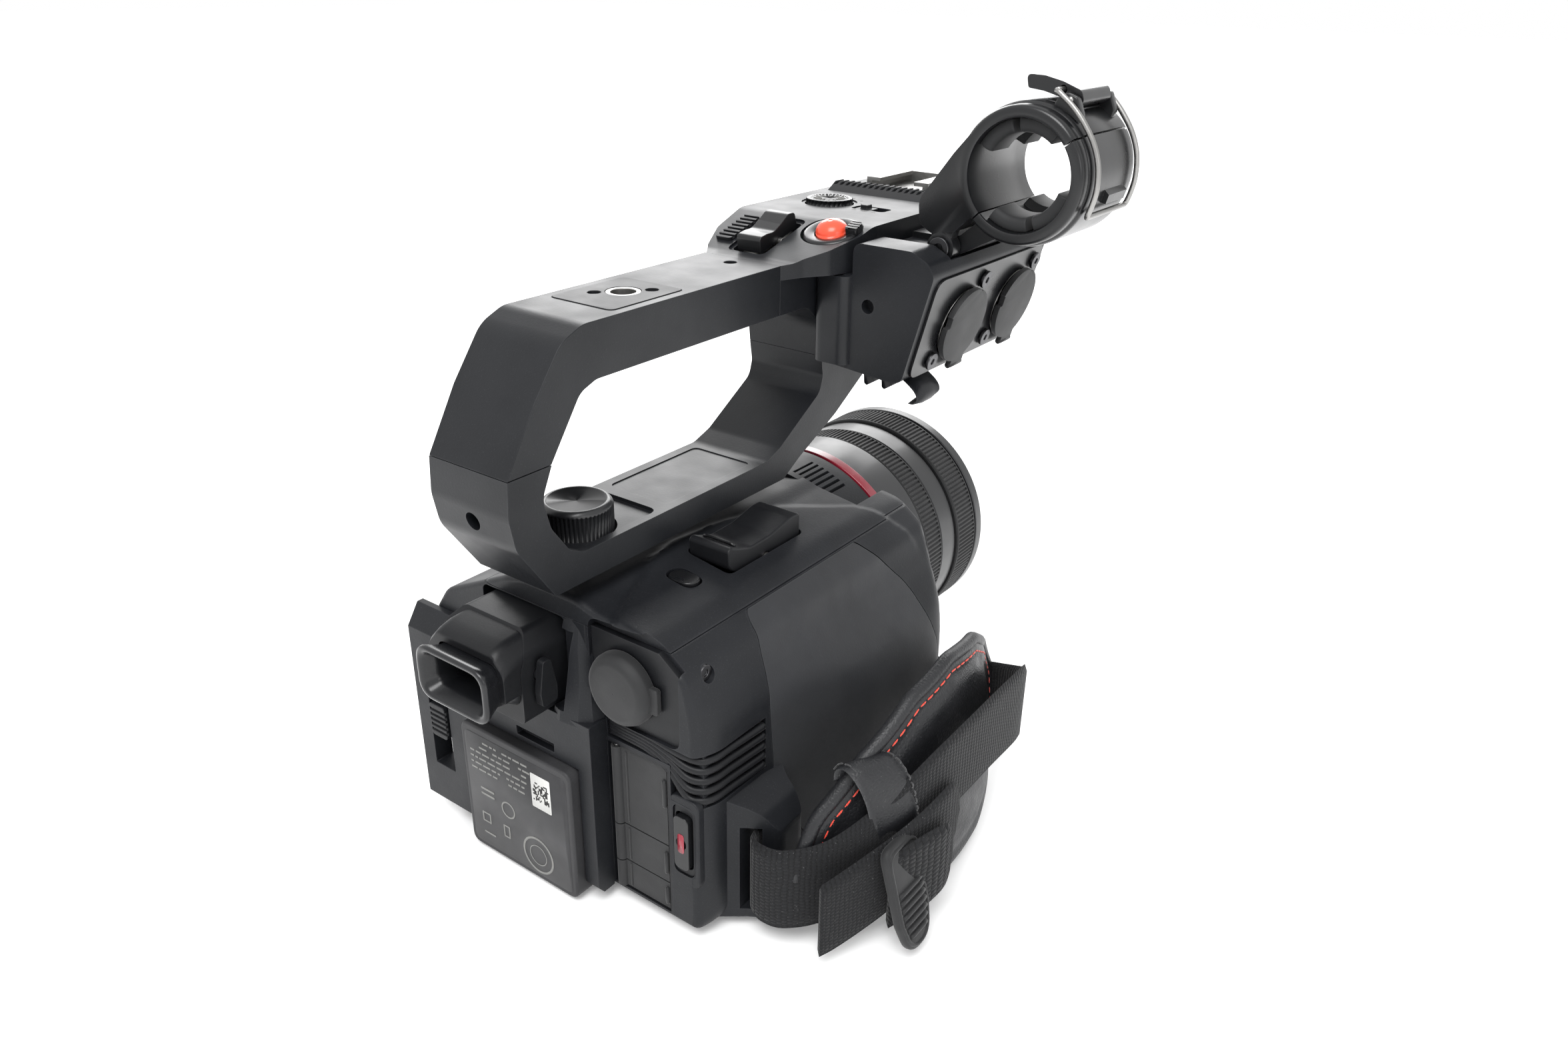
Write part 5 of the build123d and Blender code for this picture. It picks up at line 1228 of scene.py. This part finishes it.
def make_deck():
    """Control deck with its wells, the ribbed bar in front and the thumb rest."""
    deck = prism("deck", rounded(DECK_PLAN, [0, 6, 8, 8, 4, 4, 4, 4, 6, 8, 8, 6, 0], 6), "Z", 140, 180)
    boolean(deck, [prism("c", rounded(DECK_SIDE, [0, 0, 10, 14, 2, 0], 8), "X", -40, 40)], "INTERSECT")
    soften(deck, 1.3, 4, 50)
    deck.modifiers.clear()
    cuts = [block(-10.8, 12.5, -97.0, -62.0, 150.0, 160.5),
            on_ramp(*RECORD_AT, rod("Z", -3.5, 1.5, 0, 0, 8.95, 64)),
            on_ramp(*ROCKER_AT, slab("Z", -4.5, 4.5, -5.5, 5.5, -10.0, 10.0, 1.6)),
            on_ramp(*ROCKER_AT, slab("Z", -0.7, 4.5, -6.6, 6.6, -11.4, 11.4, 3.0)),
            rod("Z", 162.2, 165, *DIAL_AT, 7.6, 64), rod("Z", 163.1, 165, *DIAL_AT, 8.6, 64),
            slab("Z", 161.6, 165, -14.6, -3.0, -83.4, -77.6, 1.6),
            block(-11.6, 11.6, -131.0, -109.2, 162.0, 165.0)]
    boolean(deck, cuts)
    seat(deck, (0.22, 2, 40, "handle"), "camera", "handle", "control_deck")
    wedge = prism("deck_rib_bar", [(-98.5, 163.0), (-103.5, 166.0), (-108.0, 166.0), (-108.0, 163.0)], "X",
                  -20.0, 20.0)
    boolean(wedge, [block(-19.2 + 2.2 * i, -18.1 + 2.2 * i, -109.0, -101.0, 165.1, 167.0)
                    for i in range(18)])
    seat(wedge, (0.25, 2, 35, "trim"), "camera", "handle")
    rest = on_ramp(*REST_AT, prism("thumb_rest", slab_outline(-2.9, 2.9, -7.4, 7.4, 1.2), "Z", -1.0, 1.0))
    boolean(rest, [on_ramp(*REST_AT, block(-4, 4, -6.7 + 2.0 * i, -5.7 + 2.0 * i, 0.35, 2))
                   for i in range(7)])
    seat(rest, (0.25, 2, 35, "trim"), "camera", "handle")


def make_deck_keys():
    """Dome with its ring, the hold tab, the handle rocker, the dial and the audio knobs."""
    arc = [math.pi / 2 * i / 8 for i in range(8, -1, -1)]
    profile = [(-1.0, 0.01), (-1.0, 4.6), (0.0, 4.6)]
    profile += [(3.2 * math.cos(a), max(0.01, 4.6 * math.sin(a))) for a in arc]
    o = on_ramp(*RECORD_AT, spin("record_dome", profile, (0, 0), "Z", 48, "orange"))
    stand(o, "handle_rec", "red_button", "handle_rec")
    ring = spin("hold_ring", [(-1.1, 5.0), (-1.1, 8.4), (-0.4, 8.4), (0.1, 8.0), (0.3, 7.2), (0.1, 5.6),
                              (-0.2, 5.0)], (0, 0), "Z", 64, "gloss")
    tab = prism("c", rounded([(-5.0, -4.0), (-8.6, -3.2), (-9.0, 0.6), (-5.2, 1.4)], 0.8), "Z", -0.4, 2.1)
    boolean(tab, [block(-10, -4, -3.3 + 1.3 * i, -2.8 + 1.3 * i, 1.6, 3) for i in range(4)])
    tab.data.materials.append(MAT["gloss"])
    o = on_ramp(*RECORD_AT, merge("hold_tab_ring", [ring, tab]))
    seat(o, (0.2, 2, 40, "gloss"), "hold_lever", "trim", "hold_lever")
    corners = [
        (-9.0, -1.2, 0.5), (-8.8, 3.4, 1.4), (-6.0, 4.2, 3), (-2.0, 3.0, 4), (1.6, 2.2, 4), (4.6, 3.0, 3),
        (8.2, 3.4, 1.4), (9.0, -1.2, 0.5),
    ]
    rocker = prism("handle_rocker_cap", rounded_each(corners, 6), "X", -4.1, 4.1)
    boolean(rocker, [rod("X", -10, 10, 0, -1.4, 1.25, 20)])
    soften(rocker, 0.8, 4, 35, "gloss")
    on_ramp(*ROCKER_AT, rocker)
    stand(rocker, "handle_rocker", "trim", "handle_rocker")
    dial = [
        (162.6, 0.01), (162.6, 6.9), (162.9, 7.2), (162.91, 7.2), (164.69, 7.2), (164.7, 7.2), (164.9, 6.9),
        (164.9, 5.9), (164.6, 5.6), (164.6, 0.01),
    ]
    top = ribbed("dial_knurled", dial, DIAL_AT, "Z", 30, 0.4, "gloss", 162.91, 164.69)
    parts = [top]
    for i in range(12):
        a = 2 * math.pi * i / 12
        spoke = [(DIAL_AT[0] + r * math.cos(a), DIAL_AT[1] + r * math.sin(a), 164.62)
                 for r in (2.6, 3.6, 4.9)]
        parts.append(tube("t", spoke, 0.22, "print", 6))
    stand(merge("dial_marked", parts), "function_dial", "trim", "function_dial")
    for body, y in KNOBS.items():
        knob = [
            (15.0, 0.01), (15.0, 1.2), (16.35, 1.2), (16.35, 4.4), (16.5, 4.6), (16.51, 4.6), (18.19, 4.6),
            (18.2, 4.6), (18.6, 4.2), (18.6, 0.01),
        ]
        o = ribbed(body + "_knurled", knob, (y, KNOB_Z), "X", 24, 0.3, "trim", 16.51, 18.19)
        mark = tube("m", [(18.62, y, 141.4), (18.62, y, 142.6), (18.62, y, 144.2)], 0.2, "print", 6)
        stand(merge(body + "_marked", [o, mark]), body, "trim", body)


def make_neck():
    """Front body of the handle under the deck."""
    neck = prism("neck", rounded_each(NECK, 8), "X", -HALF, HALF)
    boolean(neck, [prism("c", [(-54, 150), (-130, 150), (-130, 134), (-100, 129.8), (-54, 129.8)], "X",
                         -10.8, 10.8)])
    panel = slab("X", HALF - 0.1, 19.0, -116.0, -62.0, 130.0, 151.8, 2.0)
    boolean(panel, [slab("X", 16.0, 20.0, -113.0, -65.0, 132.5, 148.6, 1.5)])
    boolean(neck, [panel], "UNION")
    boolean(neck, [rod("X", 14.4, 17.0, y, KNOB_Z, 1.4, 20) for y in KNOBS.values()])
    seat(neck, (1.2, 4, 45, "handle"), "camera", "handle", "handle_neck")


def make_deck_marks():
    """Plain index marks round the dial and beside the slide switch."""
    marks = []
    for i in range(5):
        a = math.radians(200 + 28 * i)
        x, y = DIAL_AT[0] + 10.2 * math.cos(a), DIAL_AT[1] + 10.2 * math.sin(a)
        marks.append(printed(disc_outline(x, y, 0.45, 16), "Z", 163.45, 0.1))
    for k in range(3):
        marks.append(printed(slab_outline(-13.0 + 3.4 * k, -11.6 + 3.4 * k, -76.2, -75.8, 0.1, 2), "Z",
                             163.45, 0.1))
    stand(merge("deck_marks", marks), "camera", "trim")


MAT["label"] = plastic("label_film", (0.034, 0.034, 0.036), 0.38, grain=0.12, speck=0.1, wear=0.2)
MAT["print"] = plastic("pale_print", (0.20, 0.20, 0.19), 0.5, grain=0.1, speck=0.1, wear=0.1)
MAT["paper"] = plastic("white_paper", (0.62, 0.62, 0.60), 0.6, grain=0.2, speck=0.1, wear=0.1)
MAT["ink"] = plastic("black_ink", (0.02, 0.02, 0.02), 0.5, grain=0.1, speck=0.0, wear=0.0)
MAT["rubber_gloss"] = plastic("eyecup_skin", (0.0085, 0.0090, 0.0105), 0.27, grain=0.1, speck=0.12,
                              coat=0.35)
make_louvres()
make_battery()
make_finder()
make_rocker()
make_rear_keys()
make_ribbed_rings()
make_deck()
make_deck_keys()
make_neck()
make_deck_marks()


# ---- audio box and microphone clamp ----------------------------------------------------------
PANEL_TILT = math.radians(15.0)
PANEL_TURN = Matrix(((0, math.sin(PANEL_TILT), -math.cos(PANEL_TILT), -45.0 * MM), (1, 0, 0, 0),
                     (0, -math.cos(PANEL_TILT), -math.sin(PANEL_TILT), 138.0 * MM), (0, 0, 0, 1)))
PANEL_Y = -82.0
SOCKETS = {"xlr_cover_rear": -70.0, "xlr_cover_front": -101.7}
MIC = (-65.0, 181.0)  # (x, z) of the clamp's axis
CLAMP_HINGE = (-44.0, 160.0)
LEVER_PIN = (-74.6, 199.9)


def on_panel(y, o):
    """Move a piece built flat round the origin onto the tilted socket panel."""
    o.data.transform(PANEL_TURN @ Matrix.Translation(Vector((y, 0, 0)) * MM))
    return o


def make_audio_box():
    """Box beside the handle with its socket plate, the two moulded covers and the cable hooks."""
    outline = [
        (-13.0, 126.0), (-13.0, 151.9), (-24.6, 151.9), (-24.6, 161.0), (-43.0, 161.0), (-48.2, 158.4),
        (-50.2, 155.0), (-41.8, 124.0), (-36.0, 124.0),
    ]
    box = prism("audio_box", rounded(outline, [0, 0, 0.5, 3, 4, 3, 2.5, 3, 3], 6), "Y", -116.0, -47.0)
    ridge = slab("Z", 126.3, 151.6, -24.5, -13.1, -60.0, -44.6, 3.4)
    boolean(box, [ridge], "UNION")
    boolean(box, [on_panel(PANEL_Y, slab("Z", -19.0, 6.0, -31.0, 31.0, -15.0, 12.0, 4.0)),
                  on_panel(PANEL_Y, slab("Z", -0.05, 6.0, -32.6, 32.6, -16.6, 13.6, 4.4)),
                  block(-52.0, -24.5, -98.5, -58.5, 157.6, 162.0), rod("Y", -64.6, -58.5, *CLAMP_HINGE, 4.6),
                  rod("Y", -50.0, -44.0, -30.0, 144.0, 2.0, 32)])
    seat(box, (1.5, 4, 38, "handle"), "camera", "handle", "xlr_housing")
    hook = spline([(-36.6, 125.6), (-40.4, 123.6), (-43.8, 121.0), (-44.9, 118.4), (-43.6, 116.4),
                   (-41.4, 116.2)], 30)
    low = [(x, -65.6, z) for x, z in hook]
    high = [(x, -52.4, z) for x, z in hook]
    parts = [ribbon("hook", low, high, 1.3, "handle", 4, 1.0)]
    for x in (-25.0, -31.0):
        tooth = [(x, 127.0), (x - 2.6, 127.0), (x - 2.4, 119.4), (x - 1.4, 118.8), (x - 0.6, 119.4)]
        parts.append(prism("tooth", rounded(tooth, 0.4), "Y", -64.0, -54.0, "handle"))
    stand(merge("cable_hooks", parts), "camera", "handle")
    plate = prism("socket_plate", slab_outline(-32.4, 32.4, -16.4, 13.4, 4.2), "Z", 0.0, 1.3)
    on_panel(PANEL_Y, plate)
    holes = [(y, 0, 10.6, 64) for y in SOCKETS.values()]
    holes += [(y + u, v, 1.6, 24) for y in SOCKETS.values() for u, v in ((11.0, 9.4), (-7.6, -12.0))]
    boolean(plate, [on_panel(y, rod("Z", -2, 4, 0, v, r, count)) for y, v, r, count in holes])
    seat(plate, (0.5, 3, 40, "gloss"), "camera", "trim", "xlr_panel")
    for body, y in SOCKETS.items():
        cap = prism("cap", disc_outline(0, 0, 11.1, 72), "Z", 2.2, 3.8)
        boolean(cap, [rod("Z", 0, 6, 11.0, 9.4, 3.3, 32), rod("Z", 0, 6, -7.6, -12.4, 3.3, 32),
                      slab("Z", 0, 6, 9.6, 12.6, -4.4, -1.2, 0.5),
                      slab("Z", 0, 6, -4.8, -3.0, -12.0, -10.2, 0.4)])
        tongue = prism("t", slab_outline(-5.4, 1.4, 8.0, 13.4, 1.0), "Z", 2.25, 3.75)
        boolean(cap, [tongue], "UNION")
        soften(cap, 0.45, 3, 40, "rubber")
        pin = prism("pin", disc_outline(12.8, 3.0, 0.9, 20), "X", -5.5, 1.5, "rubber")
        stand(on_panel(y, merge(body + "_moulded", [cap, pin])), body, "rubber", body)


def around(angle, radius):
    """X and Z of a point round the clamp's axis, at an angle in degrees from -X towards +Z."""
    a = math.radians(angle)
    return MIC[0] - radius * math.cos(a), MIC[1] + radius * math.sin(a)


def sector(name, profile, start, stop, mat=None):
    """Part of a ring round the clamp's axis, from a profile of (y, radius) points in millimetres."""
    count = max(8, int(abs(stop - start) / 3))
    rings = []
    for i in range(count + 1):
        a = start + (stop - start) * i / count
        spots = [(y, *around(a, r)) for y, r in profile]
        rings.append([(x, y, z) for y, x, z in spots])
    return loft(name, rings, mat)


RING = [
    (-60.0, 14.9), (-60.0, 16.6), (-60.4, 17.2), (-61.2, 17.6), (-64.0, 17.6), (-64.5, 18.1), (-65.2, 18.4),
    (-90.2, 18.4), (-91.0, 18.0), (-91.4, 17.5), (-94.0, 17.4), (-94.8, 16.8), (-95.0, 15.8), (-94.6, 14.7),
    (-94.0, 14.3), (-60.6, 14.3), (-60.15, 14.5),
]
LINER = [
    (-62.2, 12.0), (-62.4, 14.28), (-92.4, 14.28), (-92.6, 12.0), (-92.0, 11.0), (-91.0, 10.6),
    (-82.0, 10.6), (-81.6, 13.0), (-73.4, 13.0), (-73.0, 10.6), (-63.8, 10.6), (-62.8, 11.0),
]


def make_clamp():
    """Both halves of the microphone clamp, its rubber liners, the latch lever and the wire bail."""
    low = sector("clamp_lower", RING, -133.7, 35.2)
    corners = [
        (-40.6, 157.6, 1), (-47.0, 157.6, 2), (-57.0, 163.0, 4), (-62.0, 165.4, 0.5), (-58.0, 170.2, 0.5),
        (-54.0, 168.6, 2), (-47.4, 163.0, 2), (-42.0, 163.0, 1),
    ]
    arm = prism("c", rounded_each(corners, 5), "Y", -94.6, -64.6)
    boolean(arm, [rod("Y", -120, -40, *MIC, 14.8, 72)])
    foot = block(-45.8, -25.0, -96.0, -78.0, 157.6, 159.4)
    lip = prism("c", [around(-8, 17.9), around(-12, 19.9), around(-19, 19.9), around(-20, 17.9)], "Y", -86.0,
                -74.0)
    boolean(low, [arm, foot, lip], "UNION")
    seat(low, (0.7, 3, 42, "gloss"), "camera", "trim", "mic_base")
    high = sector("clamp_upper", RING, 36.8, 224.7)
    corners = [
        (-40.8, 163.6, 1), (-37.0, 165.6, 3), (-36.4, 172.0, 5), (-46.0, 185.0, 12), (-52.0, 192.0, 4),
        (-58.0, 192.0, 1), (-52.2, 174.4, 1), (-54.0, 170.8, 0.5), (-47.6, 164.6, 1),
    ]
    wing = prism("c", rounded_each(corners, 6), "Y", -94.6, -60.4)
    boolean(wing, [rod("Y", -120, -40, *MIC, 14.8, 72)])
    boss = rod("Y", -64.2, -60.3, *CLAMP_HINGE, 4.1, 48)
    neck = prism("c", [(-46.8, 161.8), (-41.2, 161.8), (-40.4, 166.4), (-47.8, 165.8)], "Y", -64.2, -60.6)
    boolean(high, [wing, boss, neck], "UNION")
    boolean(high, [rod("Y", -66.0, -59.0, *CLAMP_HINGE, 2.5, 32)])
    soften(high, 0.8, 3, 42, "gloss")
    ears = []
    for y in (-68.2, -89.0):
        corners = [
            (-69.6, 196.6, 1), (-71.2, 200.2, 1), (-73.6, 201.6, 2), (-76.4, 200.6, 1.6), (-78.2, 196.2, 2),
            (-77.0, 192.0, 1), (-71.0, 193.6, 1),
        ]
        ear = prism("ear", rounded_each(corners, 5), "Y", y, y + 2.6)
        ears.append(soften(ear, 0.4, 3, 40, "gloss"))
    pin = prism("pin", disc_outline(*LEVER_PIN, 0.8, 24), "Y", -88.9, -65.4, "steel")
    plate = sector("rib", [(-68.2, 17.9), (-68.2, 18.7), (-86.4, 18.7), (-86.4, 17.9)], 60.0, 84.0, "gloss")
    stand(merge("clamp_upper_eared", [high, *ears, pin, soften(plate, 0.4, 2, 40, "gloss")]), "camera",
          "trim", "mic_clamp")
    liners = [sector("l", LINER, a, b, "rubber")
              for a, b in ((-126.0, -78.0), (-70.0, -18.0), (50.0, 98.0), (106.0, 152.0))]
    stand(merge("clamp_liners", [soften(o, 0.3, 2, 50, "rubber") for o in liners]), "camera", "rubber")
    corners = [
        (-60.9, 205.15, 1.2), (-66.0, 205.0, 4), (-71.0, 203.9, 6), (-76.2, 202.0, 2), (-77.2, 199.2, 1.5),
        (-75.0, 197.9, 1.2), (-71.4, 199.9, 3), (-66.0, 201.3, 5), (-61.6, 201.8, 0.8),
    ]
    lever = prism("lever_arched", rounded_each(corners, 6), "Y", -86.0, -68.6)
    boolean(lever, [rod("Y", -100, -50, *LEVER_PIN, 0.95, 24), rod("Y", -100, -50, -71.2, 202.0, 1.0, 24)])
    seat(lever, (0.8, 4, 42, "gloss"), "latch_lever", "trim", "latch_lever")
    sweep = [(-71.2, 202.0), (-71.9, 201.7), around(58, 20.7), around(44, 20.0), around(28, 19.8),
             around(12, 19.8), around(-4, 19.8), around(-16, 19.8), around(-24.5, 19.9), around(-26, 19.9)]
    side = [Vector(p) for p in spline(sweep, 46)]
    top, end = side[0], side[-1]

    def arm(y, inward):
        """One arm of the bail, with the bends at both of its ends."""
        start = [(top.x, y + 1.4 * inward, top.y), (top.x - 0.05, y + 0.4 * inward, top.y)]
        bends = [(end.x, y + d * inward, end.y) for d in (0.5, 1.6)]
        return start + [(p.x, y, p.y) for p in side[1:-1]] + bends

    wire = [(top.x, -77.0, top.y)] + arm(-64.5, -1) + arm(-90.1, 1)[::-1] + [(top.x, -77.1, top.y)]
    stand(tube("bail_wire", wire, 0.74, "steel", 12), "latch_bail", "steel", "latch_bail")


make_audio_box()
make_clamp()


# ---- floor, light and camera -----------------------------------------------------------------
def make_floor():
    size = 6.0
    mesh = bpy.data.meshes.new("floor")
    mesh.from_pydata([(-size, -size, 0), (size, -size, 0), (size, size, 0), (-size, size, 0)], [],
                     [(0, 1, 2, 3)])
    floor = link("floor", mesh)
    g = Graph("pale_floor")
    g.set(Base_Color=g.ramp(g.noise(3.0, 2.0), [(0.3, (0.93, 0.93, 0.93)), (0.7, (0.95, 0.95, 0.95))]),
          Roughness=0.9, Emission_Color=(1.0, 1.0, 1.0, 1.0), Emission_Strength=0.10)
    mesh.materials.append(g.mat)
    floor.location.z = -0.0002


def make_light(name, position, aim, size, power, colour=(1, 1, 1)):
    data = bpy.data.lights.new(name, "AREA")
    data.shape = "RECTANGLE"
    data.size, data.size_y = size
    data.energy = power
    data.color = colour
    light = link(name, data)
    light.location = position
    light.rotation_mode = "QUATERNION"
    light.rotation_quaternion = (Vector(aim) - Vector(position)).to_track_quat("-Z", "Y")


def make_world():
    world = bpy.data.worlds.new("studio")
    world.use_nodes = True
    background = world.node_tree.nodes["Background"]
    background.inputs["Color"].default_value = (1.0, 1.0, 1.0, 1.0)
    background.inputs["Strength"].default_value = 1.0
    bpy.context.scene.world = world


SENSOR = 36.0
FOCAL_WIDTHS = 1780.0 / 2352.0  # focal length as a share of the picture's width
CAMERA_AT = (-201.16 * MM, 226.8 * MM, 228.6 * MM)
CAMERA_ROWS = ((-0.80549452, -0.59241423, 0.01496499), (-0.26206534, 0.33344864, -0.90561237),
               (0.5315076, -0.73338761, -0.42384229))


def make_camera():
    data = bpy.data.cameras.new("camera")
    data.sensor_width = SENSOR
    data.lens = SENSOR * FOCAL_WIDTHS
    data.clip_start, data.clip_end = 0.01, 50.0
    cam = link("camera", data)
    right, down, forward = (Vector(r) for r in CAMERA_ROWS)
    turn = Matrix((right, -down, -forward)).transposed().to_4x4()
    cam.matrix_world = Matrix.Translation(CAMERA_AT) @ turn
    bpy.context.scene.camera = cam


make_floor()
make_world()
make_light("key", (-0.30, 0.70, 1.35), (0, 0, 0.08), (0.8, 0.8), 17.0)
make_light("fill", (-1.2, 0.4, 0.5), (0, 0, 0.08), (0.5, 0.4), 1.4)
make_light("rim", (0.7, -1.3, 0.85), (0, 0, 0.1), (1.4, 0.8), 16.0)
make_camera()
bpy.context.scene.view_settings.view_transform = "Standard"
